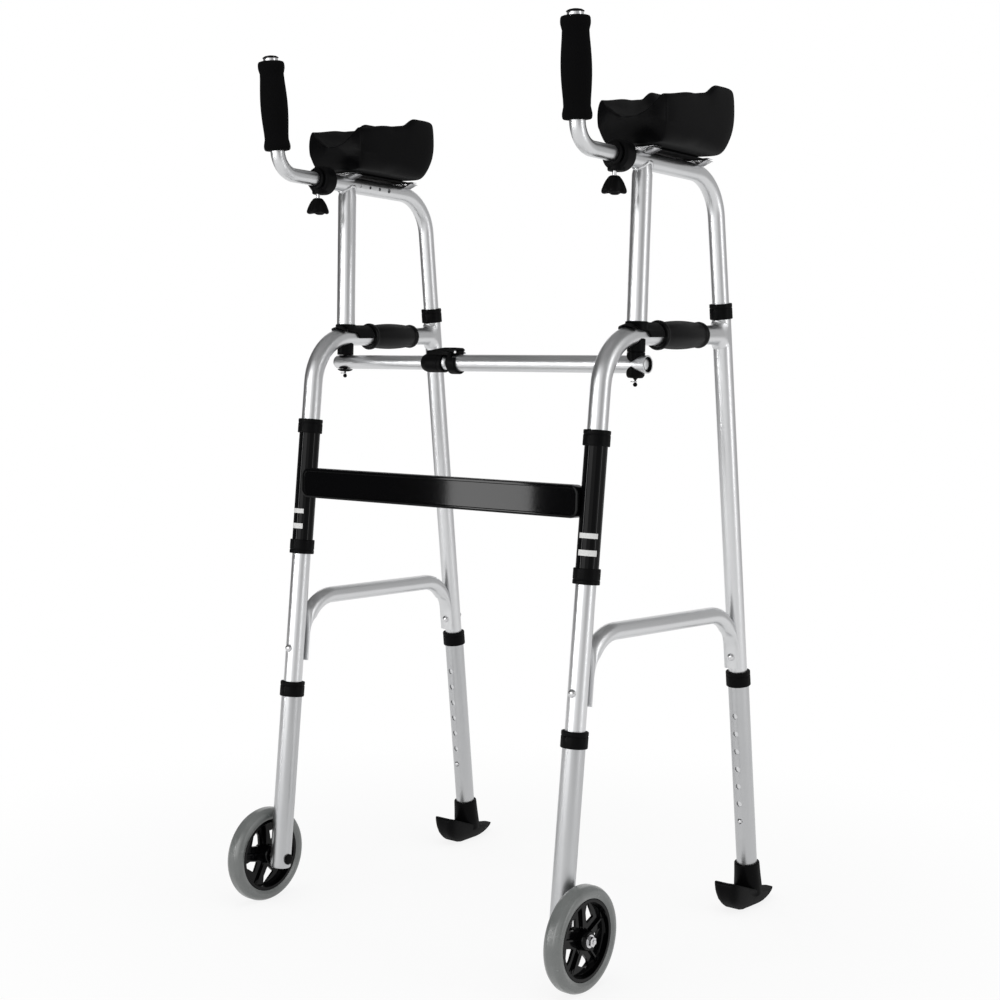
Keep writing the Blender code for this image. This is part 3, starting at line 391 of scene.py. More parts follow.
def keep(shape, name, finish, node, slot=None, crease=38.0):
    """Writes a finished shape as a piece that moves with its CAD node. It stands for the node,
    unless it has a slot of its own, as the small extra pieces have."""
    bmesh.ops.remove_doubles(shape, verts=shape.verts, dist=merge_distance)
    bmesh.ops.recalc_face_normals(shape, faces=shape.faces)
    piece = mesh_object(shape, name, finish.material)
    piece.data.shade_smooth()
    piece.data.set_sharp_from_angle(angle=radians(crease))
    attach(piece, frame["nodes"][node]["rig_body"])
    if not slot:
        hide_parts(node)
    return piece


def panels(shape):
    """The crossbar's front and back, which are its two largest faces."""
    return sorted(shape.faces, key=lambda face: face.calc_area())[-2:]


gloss_paint = Finish("gloss_paint", (0.0016, 0.0016, 0.0019), 0.05, specular=0.13)
orange_peel = gloss_paint.noise(240.0, 1.0)
gloss_paint.dull_edge(0.03 + orange_peel * 0.03)
gloss_paint.bump(orange_peel, 0.00003, 0.12)

brace_height = 0.0395
brace_thickness = 0.0165
brace_half_length = 0.2268
brace_corner = 0.011
brace_front_y = -0.1887
brace_z = 0.5742
sleeve_bottom_z = 0.48
sleeve_top_z = 0.656
sleeve_radius = 0.014
sleeve_bore = 0.013

brace = bmesh.new()
corner_steps = 48
bmesh.ops.create_circle(brace, cap_ends=True, radius=brace_corner, segments=corner_steps,
                        matrix=Matrix.Rotation(pi / corner_steps, 4, "Z"))
for vert in brace.verts:
    vert.co.x += (brace_half_length - brace_corner) * (1 if vert.co.x > 0 else -1)
    vert.co.y += (brace_height / 2 - brace_corner) * (1 if vert.co.y > 0 else -1)
raised(brace, list(brace.faces), brace_thickness)
bmesh.ops.recalc_face_normals(brace, faces=brace.faces)
soften(brace, [edge for face in panels(brace) for edge in face.edges], 0.0013)
rim_and_panel = panels(brace)
for width, depth in ((0.0022, 0.0), (0.0009, -0.0012)):
    bmesh.ops.inset_individual(brace, faces=rim_and_panel, thickness=width, depth=depth, use_even_offset=True)
stood = Matrix.Translation((0, brace_front_y + brace_thickness, brace_z)) @ Matrix.Rotation(pi / 2, 4, "X")
bmesh.ops.transform(brace, matrix=stood, verts=brace.verts)
bores = bmesh.new()
for name, side in both_sides:
    rod(front_leg(side, sleeve_bottom_z - 0.02), front_leg(side, sleeve_top_z + 0.02), sleeve_bore, steps=64,
        shape=bores)
brace = carved(brace, bores)
for name, side in both_sides:
    low = front_leg(side, sleeve_bottom_z)
    high = front_leg(side, sleeve_top_z)
    length = (high - low).length
    wall = [(sleeve_bore, length), (sleeve_radius, length), (sleeve_radius, 0.0), (sleeve_bore, 0.0)]
    turned(wall, facing(low, high - low), shape=brace)
keep(brace, "front_brace_visual", gloss_paint, "front_brace")

label_film = Finish("label_film", (0.8, 0.8, 0.79), 0.45, specular=0.3)
label_film.tint((0.72, 0.72, 0.71), label_film.noise(120.0, 2.0))
label_radius = sleeve_radius + 0.00012
for name, side in both_sides:
    bands = bmesh.new()
    for band_z, band_height in ((0.5105, 0.007), (0.5312, 0.0062)):
        low = front_leg(side, band_z)
        high = front_leg(side, band_z + band_height)
        band = [(label_radius, (high - low).length), (label_radius, 0.0)]
        turned(band, facing(low, high - low), shape=bands)
    toward = Vector((0.48, -0.88, 0.0)) if side > 0 else Vector((-0.22, -0.97, 0.0))
    bare = []
    for face in bands.faces:
        middle = face.calc_center_median()
        if (middle - front_leg(side, middle.z)).normalized().dot(toward) < 0.62:
            bare.append(face)
    bmesh.ops.delete(bands, geom=bare, context="FACES")
    keep(bands, f"sleeve_label_{name}", label_film, "front_brace", "steel")


# Sleeve collars
# Black nylon rings pressed over both ends of each sleeve. A groove divides the lip from the band.

nylon = Finish("nylon", (0.002, 0.002, 0.0022), 0.36, specular=0.05)
nylon_wear = nylon.noise(60.0, 3.0)
nylon.tint((0.0036, 0.0036, 0.0039), nylon_wear)
nylon.dull_edge(0.28 + nylon_wear * 0.16)
nylon.bump(nylon.noise(1600.0, 3.0), 0.0001, 0.35)

sleeve_ring_half = 0.0095
sleeve_ring_overhang = 0.0033


def leg_axis(leg, side):
    return (leg(side, 1.0) - leg(side, 0.0)).normalized()


def on_leg(leg, side, z, way=1):
    """A place on a leg's centre line that looks up it, or down it where the way is -1."""
    return facing(leg(side, z), leg_axis(leg, side) * way)


def collar_outline(outer, half, seat, lip, neck):
    """Half section of a ring that closes on a thinner tube at its top."""
    groove = outer - 0.0005
    outside = [(neck, half), (outer - 0.0004, half), (outer, half - 0.0008), (outer, half - 0.0046),
               (groove, half - 0.005), (groove, half - 0.0058), (outer, half - 0.0062),
               (outer, 0.0006 - half), (outer - 0.0006, -half), (seat, -half)]
    return eased(outside, 0.0006, 3) + [(seat, half - lip), (neck, half - lip)]


for name, side in both_sides:
    for end, end_z, way in (("top", sleeve_top_z, 1), ("bottom", sleeve_bottom_z, -1)):
        z = end_z + way * (sleeve_ring_overhang - sleeve_ring_half)
        outline = collar_outline(0.0165, sleeve_ring_half, sleeve_radius + 0.0003, 0.0028, sleeve_bore)
        ring = turned(outline, on_leg(front_leg, side, z, way))
        keep(ring, f"sleeve_{end}_ring_{name}", nylon, f"sleeve_{end}_collar_{name}")


# Side frame tubes
# Aluminium tube, bent to a handrail at the top and running down as the front leg, with a satin
# anodised skin. The rail's end is flared on to the rear leg, where the weld is ground to a cup.

satin_aluminium = Finish("satin_aluminium", (0.6, 0.605, 0.615), 0.3, 1.0)
cloud = satin_aluminium.noise(14.0, 3.0)
grain = satin_aluminium.noise(2400.0, 2.0)
drawn_marks = satin_aluminium.noise(300.0, 2.0, (1.0, 1.0, 0.04))
satin_aluminium.tint((0.7, 0.705, 0.71), cloud * 0.5 + drawn_marks * 0.3)
satin_aluminium.rough(0.24 + cloud * 0.08 + grain * 0.08)
satin_aluminium.bump(grain, 0.0001, 0.3)

frame_tube_radius = 0.0125
rail_bend = 0.07
rail_slope = 0.045
rail_rear_y = 0.1032
rail_rear_z = 0.783
rail_level_z = rail_rear_z - rail_slope * rail_rear_y
rail_front_y = (front_floor_y + front_lean * rail_level_z) / (1 - front_lean * rail_slope)
rear_floor_y = 0.2189
rear_lean = -0.1478
leg_split_z = 0.105


def handrail(side, y):
    return side_plane(side, y, rail_level_z + rail_slope * y)


def rear_leg(side, z):
    return side_plane(side, rear_floor_y + rear_lean * z, z)


def bend_line(corners, bend, steps=14):
    """The centre line of a bent tube: straight runs with a true arc at each inner corner."""
    line = [corners[0]]
    for before, corner, after in zip(corners, corners[1:], corners[2:]):
        arrive = (corner - before).normalized()
        leave = (after - corner).normalized()
        angle = arrive.angle(leave)
        inward = (leave - arrive * cos(angle)).normalized()
        start = corner - arrive * bend * tan(angle / 2)
        for step in range(steps + 1):
            turn = angle * step / steps
            line.append(start + arrive * bend * sin(turn) + inward * bend * (1 - cos(turn)))
    line.append(corners[-1])
    return line


def skinned(shape, rings, ends=True, cyclic=False):
    """Bridges each ring of edges to the next, and fills the two ends."""
    pairs = list(zip(rings, rings[1:]))
    if cyclic:
        pairs.append((rings[-1], rings[0]))
    for near, far in pairs:
        bmesh.ops.bridge_loops(shape, edges=near + far)
    if ends and not cyclic:
        bmesh.ops.edgeloop_fill(shape, edges=rings[0])
        bmesh.ops.edgeloop_fill(shape, edges=rings[-1])


def edges_of(circle):
    return list(dict.fromkeys(edge for vert in circle["verts"] for edge in vert.link_edges))


def drawn(line, radius, sides=40, toward=ACROSS, section=None, cyclic=False):
    """Draws a round section along a line. A section may be pressed out of round on its way."""
    shape = bmesh.new()
    rings = []
    last = len(line) - 1
    for i, spot in enumerate(line):
        before = line[i - 1] if cyclic else line[max(i - 1, 0)]
        after = line[(i + 1) % len(line)] if cyclic else line[min(i + 1, last)]
        place = facing(spot, after - before, toward)
        if section:
            place = place @ section(spot, place)
        circle = bmesh.ops.create_circle(shape, cap_ends=False, radius=radius, segments=sides, matrix=place)
        rings.append(edges_of(circle))
    skinned(shape, rings, cyclic=cyclic)
    return shape


def flared_joint(shape, side):
    """The cup that the rail's end is spread into round the rear leg."""
    axis = leg_axis(rear_leg, side)
    back = (handrail(side, 0.1) - handrail(side, 0.0)).normalized()
    across = axis.cross(back).normalized()
    leg_spot = rear_leg(side, rail_rear_z)
    widest = 0.0127
    rings = []
    for spread, stand_off in ((0.0124, 0.011), (0.0129, 0.0082), (0.0141, 0.0054), (0.016, 0.0034),
                              (0.0176, 0.0025), (0.0184, 0.0024), (0.0189, 0.0018), (0.0188, 0.0006),
                              (0.018, -0.0006), (0.012, -0.001)):
        circle = bmesh.ops.create_circle(shape, cap_ends=False, radius=spread, segments=48)
        for vert in circle["verts"]:
            wide = max(min(vert.co.x, widest), -widest)
            depth = sqrt(frame_tube_radius ** 2 - min(abs(wide), frame_tube_radius - 0.0001) ** 2)
            vert.co = leg_spot + across * wide + axis * vert.co.y - back * (depth + stand_off)
        rings.append(edges_of(circle))
    skinned(shape, rings)


for name, side in both_sides:
    corners = [front_leg(side, leg_split_z), handrail(side, rail_front_y),
               handrail(side, rail_rear_y - 0.004)]
    rail = drawn(bend_line(corners, rail_bend), frame_tube_radius)
    flared_joint(rail, side)
    keep(rail, f"handrail_and_leg_{name}", satin_aluminium, f"front_frame_tube_{name}")


# Rear legs
# Straight aluminium tubes. The forearm support's own rear tube stands in the open top of each, in a
# black nylon ring.

rear_top_z = 0.8133
forearm_tube_radius = 0.011

for name, side in both_sides:
    upright_tube = rod(rear_leg(side, leg_split_z), rear_leg(side, rear_top_z), frame_tube_radius)
    keep(upright_tube, f"rear_leg_{name}", satin_aluminium, f"rear_upright_{name}")
    outline = collar_outline(0.0148, 0.01, frame_tube_radius + 0.0004, 0.0097, forearm_tube_radius + 0.0004)
    ring = turned(outline, on_leg(rear_leg, side, rear_top_z))
    keep(ring, f"rear_top_ring_{name}", nylon, f"rear_top_collar_{name}")


# Side braces
# Smaller tube that bows up between the legs. Its ends are pressed flat against the legs' inner
# faces and bolted through with plated bolts.

plated_steel = Finish("plated_steel", (0.62, 0.62, 0.63), 0.2, 1.0)
plated_steel.rough(0.14 + plated_steel.noise(200.0, 3.0) * 0.14)

brace_tube_radius = 0.011
brace_level = 0.4165
brace_bend = 0.055
bow_steps = 5
leg_face = frame_tube_radius + 0.0003
flat_end_face = leg_face + 0.0042
bolt_dome = [(0.0, 0.0036), (0.0018, 0.0034), (0.0036, 0.0025), (0.0048, 0.0009), (0.0051, 0.0004),
             (0.0051, 0.0), (0.0, 0.0)]
bolt_washer = [(0.0, 0.0009), (0.0058, 0.0009), (0.0062, 0.0005), (0.0062, 0.0), (0.0, 0.0)]
bolt_nut = [(0.0, 0.0034), (0.004, 0.0034), (0.005, 0.0028), (0.005, 0.0009), (0.0, 0.0009)]


def square_to_leg(leg, side):
    axis = leg_axis(leg, side)
    return (ALONG - axis * axis.y).normalized()


def pressed_section(spot, place, legs):
    """Flattens the tube where it would run into a leg, and spreads it a little sideways."""
    depth = brace_tube_radius
    inward = place.col[1].to_3d()
    for origin, normal in legs:
        room = abs((spot - origin).dot(normal)) - frame_tube_radius - 0.0006
        depth = min(depth, max(room / max(abs(inward.dot(normal)), 0.05), 0.0019))
    flatness = depth / brace_tube_radius
    return Matrix.Diagonal((1 + 0.06 * (1 - flatness), flatness, 1.0, 1.0))


for name, side in both_sides:
    ends = []
    legs = []
    for leg, low_z, inward in ((front_leg, 0.332, 1), (rear_leg, 0.34, -1)):
        normal = square_to_leg(leg, side)
        low = leg(side, low_z) + normal * inward * (frame_tube_radius + 0.0025)
        ends.append((low, low + leg(side, brace_level) - leg(side, low_z)))
        legs.append((leg(side, brace_level), normal))
    line = bend_line([ends[0][0], ends[0][1], ends[1][1], ends[1][0]], brace_bend)
    shares = [step / bow_steps for step in range(1, bow_steps)]
    rise = [line[0].lerp(line[1], share) for share in shares]
    fall = [line[-2].lerp(line[-1], share) for share in shares]
    line = [line[0], *rise, *line[1:-1], *fall, line[-1]]
    outward = side_plane(side, 0.0, 0.0, 1.0) - side_plane(side, 0.0, 0.0)
    bow = drawn(line, brace_tube_radius, 40, outward, lambda spot, place: pressed_section(spot, place, legs))
    keep(bow, f"side_brace_tube_{name}", satin_aluminium, f"side_brace_{name}")

    bolts = bmesh.new()
    for leg, z, before, after in ((front_leg, 0.348, leg_face, flat_end_face),
                                  (rear_leg, 0.356, flat_end_face, leg_face)):
        normal = square_to_leg(leg, side)
        turned(bolt_dome, facing(leg(side, z) - normal * before, -normal), 32, bolts)
        seat = leg(side, z) + normal * after
        nut = facing(seat, normal)
        turned(bolt_washer, nut, 32, bolts)
        turned(bolt_nut, nut, 6, bolts)
        rod(seat, seat + normal * 0.0035, 0.0024, 0.0005, 20, bolts)
    keep(bolts, f"brace_bolts_{name}", plated_steel, f"side_brace_{name}", "steel")


# Forearm supports
# A bent tube that rises from each rear leg and runs level to the front. A thicker post is coped and
# welded under it, and four adjusting holes are drilled in its inner face.

arm_x = 0.2422
arm_toe_out = 0.015
arm_z = 0.984
arm_front_y = -0.1455
arm_bend = 0.06
hole_z = arm_z - 0.001
pin_y = -0.0925
post_bottom_z = 0.7912
post_radius = 0.0125
weld_radius = 0.0021
weld_steps = 48


def arm_plane(side, y, z, out=0.0):
    """A point in the plane of one forearm support, which toes out less than the side frame."""
    return Vector((side * (arm_x + arm_toe_out * (y - pin_y) + out), y, z))


def pin_line(side, z):
    """A point on the upright line of the post, the bracket and the cross tube's pin."""
    return side_plane(side, pin_y, z, 0.002)


def joined(shape, other):
    """Adds the mesh of another shape to a shape as it is."""
    spare = bpy.data.meshes.new("spare")
    other.to_mesh(spare)
    other.free()
    shape.from_mesh(spare)
    bpy.data.meshes.remove(spare)
    return shape


for name, side in both_sides:
    corners = [rear_leg(side, 0.8), rear_leg(side, rear_top_z + 0.016),
               arm_plane(side, rear_leg(side, arm_z).y, arm_z), arm_plane(side, arm_front_y, arm_z)]
    support = drawn(bend_line(corners, arm_bend), forearm_tube_radius)
    holes = bmesh.new()
    for hole_y, hole_radius in ((-0.0765, 0.002), (-0.0565, 0.0021), (-0.0365, 0.0023), (-0.0165, 0.003)):
        rod(arm_plane(side, hole_y, hole_z, -0.003), arm_plane(side, hole_y, hole_z, -0.014), hole_radius,
            steps=24, shape=holes)
    support = carved(support, holes)
    low = pin_line(side, post_bottom_z)
    high = arm_plane(side, pin_y, arm_z - 0.004)
    length = (high - low).length
    post = [(0.0, length), (0.01, length), (post_radius, length - 0.013), (post_radius, 0.0), (0.0, 0.0)]
    turned(post, facing(low, high - low), shape=support)
    weld = []
    for step in range(weld_steps):
        angle = 2 * pi * step / weld_steps
        across = 0.0112 * sin(angle)
        drop = sqrt(max(0.0113 ** 2 - across ** 2, 0.0))
        weld.append(arm_plane(side, pin_y + 0.0118 * cos(angle), arm_z - max(drop, 0.003), across))
    joined(support, drawn(weld, weld_radius, 10, UP, cyclic=True))
    keep(support, f"forearm_support_{name}", satin_aluminium, f"forearm_frame_{name}")


# Pivot brackets
# Moulded black saddles over the rail's bend. Each seats the post and holds the boss under the rail,
# from which the cross tube's pin hangs.

rail_at_pin_z = handrail(1, pin_y).z
boss_bottom = {"left": 0.7488, "right": 0.754}
under_saddle = [(-0.15, 0.7), (-0.04, 0.7), (-0.04, 0.7741), (-0.08, 0.7723), (-0.085, 0.78),
                (-0.1, 0.7816), (-0.107, 0.7799), (-0.1075, 0.8), (-0.15, 0.8)]
saddle_wall = 0.0034
saddle_rear_y = -0.052
rail_gap = 0.0006
boss_radius = 0.0112
pin_bore = 0.0034


def slab(outline, thickness, place, shape=None):
    """A flat outline, pulled out evenly to both sides of its plane."""
    shape = shape or bmesh.new()
    fresh = [shape.verts.new((u, v, -thickness / 2)) for u, v in outline]
    sheet = bmesh.ops.contextual_create(shape, geom=fresh)["faces"]
    bmesh.ops.transform(shape, matrix=place, verts=fresh + raised(shape, sheet, thickness))
    return shape


def drilled(shape, start, end, radius, steps=40):
    """Takes a round hole out of a closed shape."""
    return carved(shape, rod(start, end, radius, steps=steps))


for name, side in both_sides:
    corners = [front_leg(side, leg_split_z), handrail(side, rail_front_y), handrail(side, rail_rear_y)]
    rail_line = bend_line(corners, rail_bend, 20)
    over_bend = [spot for spot in rail_line if spot.z > rail_at_pin_z - 0.018][:-1]
    saddle = drawn(over_bend + [handrail(side, saddle_rear_y)], frame_tube_radius + saddle_wall, 48)
    seat = rod(pin_line(side, rail_at_pin_z), pin_line(side, post_bottom_z - 0.0003), 0.0142, 0.0012, 48)
    saddle = carved(saddle, seat, "UNION")
    side_view = Matrix(((0, 0, 1, side * sleeve_x), (1, 0, 0, 0), (0, 1, 0, 0), (0, 0, 0, 1)))
    saddle = carved(saddle, slab(under_saddle, 0.08, side_view))
    boss = rod(pin_line(side, boss_bottom[name]), pin_line(side, rail_at_pin_z - 0.004), boss_radius, 0.0009)
    saddle, boss = [carved(shape, drawn(rail_line, frame_tube_radius + rail_gap)) for shape in (saddle, boss)]
    boss = drilled(boss, pin_line(side, 0.73), pin_line(side, 0.7595), pin_bore, 24)
    keep(joined(saddle, boss), f"rail_saddle_{name}", nylon, f"pivot_bracket_{name}")


# Hand grips
# Moulded grips pushed along the handrails, with a rolled ring at each end and a fuller palm between.

grip_rubber = Finish("grip_rubber", (0.0022, 0.0022, 0.0024), 0.4, specular=0.1)
grip_wear = grip_rubber.noise(50.0, 3.0)
grip_rubber.tint((0.005, 0.005, 0.0054), grip_wear)
grip_rubber.dull_edge(0.2 + grip_wear * 0.14)
grip_rubber.bump(grip_rubber.cells(1500.0), 0.0001, 0.35)

palm_steps = 14

for name, side in both_sides:
    start = handrail(side, -0.047)
    end = handrail(side, 0.0505)
    length = (end - start).length
    outline = [(0.0131, length), (0.015, length), (0.0165, length - 0.0016), (0.0169, length - 0.0035),
               (0.0166, length - 0.0062), (0.0153, length - 0.008), (0.0153, length - 0.01)]
    for step in range(palm_steps + 1):
        share = step / palm_steps
        palm_radius = 0.0154 + 0.0026 * sin(pi * share) ** 0.8
        outline.append((palm_radius, length - 0.0108 - share * (length - 0.0186)))
    outline += [(0.0154, 0.0072), (0.0172, 0.0062), (0.0184, 0.0048), (0.0186, 0.0022), (0.0178, 0.0006),
                (0.0165, 0.0), (0.0129, 0.0), (0.0129, length)]
    grip = turned(outline, facing(start, end - start))
    keep(grip, f"rail_grip_{name}", grip_rubber, f"hand_grip_{name}")


# Pad mounts
# Two pressed steel straps saddle each top tube and carry a black plate between them. The pad is
# bolted to the straps from below.

pad_bottom_z = 1.0
mount_top_z = pad_bottom_z - 0.0003
strap_width = 0.015
strap_edge = [(0.0224, -0.004), (0.0224, -0.0026), (0.011, -0.0026), (0.0102, -0.0088)]
strap_outline = [(-0.024, -0.004), (-0.024, -0.0006), (0.024, -0.0006), (0.024, -0.004), *strap_edge,
                 *[(-across, height) for across, height in reversed(strap_edge)]]
strap_washer = [(0.0, 0.0008), (0.0042, 0.0008), (0.0044, 0.0), (0.0, 0.0)]
strap_bolt = [(0.0, 0.003), (0.0028, 0.003), (0.0034, 0.0024), (0.0034, 0.0008), (0.0, 0.0008)]

for name, side in both_sides:
    straps = bmesh.new()
    place = facing(arm_plane(side, 0.0, 0.0), UP, Vector((1.0, -side * arm_toe_out, 0.0)))
    for strap_y in (-0.094, 0.0235):
        strap_place = Matrix.Translation((0.0, strap_y, mount_top_z))
        strap = slab(strap_outline, strap_width, strap_place @ Matrix.Rotation(pi / 2, 4, "X"))
        bmesh.ops.recalc_face_normals(strap, faces=strap.faces)
        soften(strap, sharp_edges(strap, 30), 0.0005, 2)
        for bolt_x in (-0.0182, 0.0182):
            head = facing(Vector((bolt_x, strap_y, mount_top_z - 0.0026)), -UP)
            turned(strap_washer, head, 24, strap)
            turned(strap_bolt, head, 6, strap)
        joined(straps, strap)
    bmesh.ops.transform(straps, matrix=place, verts=straps.verts)
    straps = drilled(straps, arm_plane(side, -0.16, arm_z), arm_plane(side, 0.1, arm_z),
                     forearm_tube_radius + 0.0006)
    keep(straps, f"pad_straps_{name}", plated_steel, f"pad_mount_{name}")

    plate = bmesh.new()
    bmesh.ops.create_cube(plate, size=1.0, matrix=Matrix.Diagonal((0.034, 0.13, 0.0022, 1.0)))
    soften(plate, sharp_edges(plate, 30), 0.0006, 2)
    plate_place = place @ Matrix.Translation((0.0, -0.035, mount_top_z - 0.0016))
    bmesh.ops.transform(plate, matrix=plate_place, verts=plate.verts)
    keep(plate, f"pad_plate_{name}", nylon, f"pad_mount_{name}", "matt_black")


# Forearm pads
# Gutters of moulded foam with a soft black skin. They are open at the front, the rims rise to a
# shoulder at the back, and the skin is slightly puffed out between the moulded corners.

pad_skin = Finish("pad_skin", (0.0012, 0.0012, 0.0014), 0.32, specular=0.055)
skin_cloud = pad_skin.noise(30.0, 3.0)
pad_skin.tint((0.0026, 0.0026, 0.003), skin_cloud)
pad_skin.dull_edge(0.26 + skin_cloud * 0.14)
pad_skin.bump(pad_skin.cells(1100.0), 0.0001, 0.28)

pad_half = 0.052
pad_front_y = -0.118
pad_rear_y = 0.03
pad_rims = [(pad_front_y, 1.058), (-0.06, 1.067), (-0.036, 1.071), (-0.012, 1.084), (0.024, 1.085),
            (0.045, 1.083)]
pad_rings = 34
trough_steps = 13
cloth_frames = 20


def rim_height(y):
    """A slow rise, then the shoulders at the back."""
    if y <= pad_front_y:
        return pad_rims[0][1]
    for (near_y, near_z), (far_y, far_z) in zip(pad_rims, pad_rims[1:]):
        if y <= far_y:
            share = (y - near_y) / (far_y - near_y)
            return near_z + (far_z - near_z) * share * share * (3 - 2 * share)


def gutter_outline(rim_z):
    """One half of the pad's section: 15 points from the middle of its bottom to the crest of the
    rim, and 14 more to the middle of its trough."""
    height = rim_z - pad_bottom_z
    half = [(0.0, 0.0), (0.013, 0.0), (0.026, 0.0), (0.037, 0.0003), (0.0435, 0.0012), (0.048, 0.006),
            (0.0496, 0.014), (0.0508, 0.024), (0.0516, 0.4 * height), (0.052, 0.55 * height),
            (0.0519, 0.7 * height), (0.0512, 0.84 * height), (0.05, height - 0.004),
            (0.0482, height - 0.0008), (0.0458, height), (0.0434, height - 0.0012)]
    trough = 0.032
    for step in range(1, trough_steps + 1):
        share = 1 - step / trough_steps
        half.append((0.0418 * share, trough + (height - 0.0045 - trough) * share ** 2.2))
    return half


def closed_loop(shape, spots):
    """A closed ring of edges through the given points."""
    verts = [shape.verts.new(spot) for spot in spots]
    return [shape.edges.new(pair) for pair in zip(verts, verts[1:] + verts[:1])]


def gutter_ring(shape, side, share):
    """One ring of the pad's mesh. The front and the back of the pad bow outwards."""
    tuck = 0.95 + 0.05 * sqrt(max(1 - abs(2 * share - 1) ** 7, 0.0))
    half = gutter_outline(rim_height(pad_front_y + (pad_rear_y - pad_front_y) * share))
    core = 0.024
    spots = []
    for x, rise in half + [(-x, rise) for x, rise in reversed(half[1:-1])]:
        height = min(max(rise / 0.08, 0.0), 1.0)
        centre = 1 - (x / pad_half) ** 2
        front = -0.112 - 0.01 * sin(pi * height) - 0.01 * centre * height
        back = 0.0165 + 0.0205 * sin(pi / 2 * min(height / 0.6, 1.0)) - 0.004 * max(height - 0.6, 0.0)
        narrow = 1 - 0.08 * max(1 - 4 * height, 0.0) * max(1 - 3 * share, 0.0)
        spot = arm_plane(side, front + (back - front) * share, pad_bottom_z + core + (rise - core) * tuck)
        spot.x += x * tuck * narrow
        spots.append(spot)
    return closed_loop(shape, spots)


def gutter_end(shape, ring):
    """Closes an end of the gutter with rows of faces that run from its outside to its trough."""
    outside = ring[:13] + ring[-13:]
    trough = ring[15:-15]
    known = set(shape.edges)
    bmesh.ops.bridge_loops(shape, edges=outside + trough)
    struts = [edge for edge in shape.edges if edge not in known]
    for crest in (ring[13:15], ring[-15:-13]):
        ends = {vert for edge in crest for vert in edge.verts}
        closing = [edge for edge in struts if set(edge.verts) < ends]
        bmesh.ops.contextual_create(shape, geom=crest + closing)
        struts = [edge for edge in struts if edge not in closing]
    bmesh.ops.subdivide_edges(shape, edges=struts, cuts=3, use_grid_fill=True)


def puffed(piece, pressure, most):
    """Swells a closed cushion by a short cloth run and caps how far each point may move."""
    home = [vert.co.copy() for vert in piece.data.vertices]
    cloth = piece.modifiers.new("cloth", "CLOTH")
    cloth.settings.use_pressure = True
    cloth.settings.uniform_pressure_force = pressure
    cloth.settings.effector_weights.gravity = 0.0
    cloth.settings.quality = 6
    cloth.point_cache.frame_start = 1
    cloth.point_cache.frame_end = cloth_frames
    for moment in range(1, cloth_frames + 1):
        scene.frame_set(moment)
    swollen = bpy.data.meshes.new_from_object(piece.evaluated_get(bpy.context.evaluated_depsgraph_get()))
    for vert, origin in zip(swollen.vertices, home):
        shift = vert.co - origin
        if shift.length > most:
            vert.co = origin + shift * (most / shift.length)
    piece.modifiers.clear()
    flat = piece.data
    piece.data = swollen
    bpy.data.meshes.remove(flat)
    scene.frame_set(1)


for name, side in both_sides:
    gutter = bmesh.new()
    shares = [0.5 - 0.5 * cos(pi * step / pad_rings) for step in range(pad_rings + 1)]
    rings = [gutter_ring(gutter, side, share) for share in shares]
    skinned(gutter, rings, ends=False)
    for end_ring in (rings[0], rings[-1]):
        gutter_end(gutter, end_ring)
    core = arm_plane(side, -0.04, pad_bottom_z + 0.04)
    bmesh.ops.scale(gutter, vec=(0.98, 0.988, 0.996), space=Matrix.Translation(-core), verts=gutter.verts)
    pad = keep(gutter, f"forearm_pad_{name}", pad_skin, f"pad_{name}", crease=180.0)
    puffed(pad, 4.0, 0.0014)
    for vert in pad.data.vertices:
        vert.co.z = max(vert.co.z, pad_bottom_z + 0.0001)
    finer = pad.modifiers.new("finer", "SUBSURF")
    finer.levels = 1
    finer.render_levels = 1


# Handle clamps
# Moulded black heads pinned to the front of each top tube. A split bush turns in each of them and
# the handle slides through it.

clamp_front_y = -0.1565
knob_y = -0.151
knob_top_z = 0.9585
handle_tube_radius = 0.0095
bush_bore = handle_tube_radius + 0.0004
head_outline = eased([(0.0, -0.0035), (0.0158, -0.0035), (0.019, -0.006), (0.019, -0.0225),
                      (0.0165, -0.025), (0.0, -0.025)], 0.0022)
bush_outline = [(bush_bore, 0.0022), (0.0115, 0.0022), (0.0138, 0.0019), (0.0145, 0.0012), (0.0145, 0.0003),
                (0.0125, 0.0003), (0.0125, -0.0098), (bush_bore, -0.0098)]

for name, side in both_sides:
    mouth = arm_plane(side, clamp_front_y, arm_z)
    along_arm = facing(mouth, arm_plane(side, clamp_front_y - 1.0, arm_z) - mouth)
    head = turned(head_outline, along_arm)
    seat = rod(arm_plane(side, -0.1465, 0.9645), arm_plane(side, -0.1465, arm_z - 0.004), 0.0112, 0.002)
    head = carved(head, seat, "UNION")
    for start_y, end_y, radius in ((-0.146, -0.12, forearm_tube_radius + 0.0004), (-0.17, -0.1459, 0.0131)):
        head = drilled(head, arm_plane(side, start_y, arm_z), arm_plane(side, end_y, arm_z), radius)
    head = drilled(head, arm_plane(side, knob_y, 0.955), arm_plane(side, knob_y, 0.978), 0.0031, 20)
    keep(head, f"clamp_head_{name}", nylon, f"handle_clamp_{name}")
    keep(turned(bush_outline, along_arm), f"clamp_bush_{name}", nylon, f"handle_bush_{name}")


# Wing knobs
# Moulded black knobs with four flared lobes and a hollow underside, on a plated screw.

lobe_turn = radians(-61.0)
lobe_flare = 0.15
knob_depth = 0.0198
knob_outline = [(0.0, 0.0002), (0.005, 0.0002), (0.0066, -0.0008), (0.008, -0.0028), (0.0096, -0.0054),
                (0.0108, -0.0081), (0.0117, -0.0108), (0.0125, -0.0134), (0.0131, -0.0157), (0.0133, -0.0176),
                (0.0131, -0.0191), (0.0123, -0.0203), (0.011, -0.0208), (0.0096, -0.0202), (0.0078, -0.0184),
                (0.0058, -0.0172), (0.0, -0.0166)]

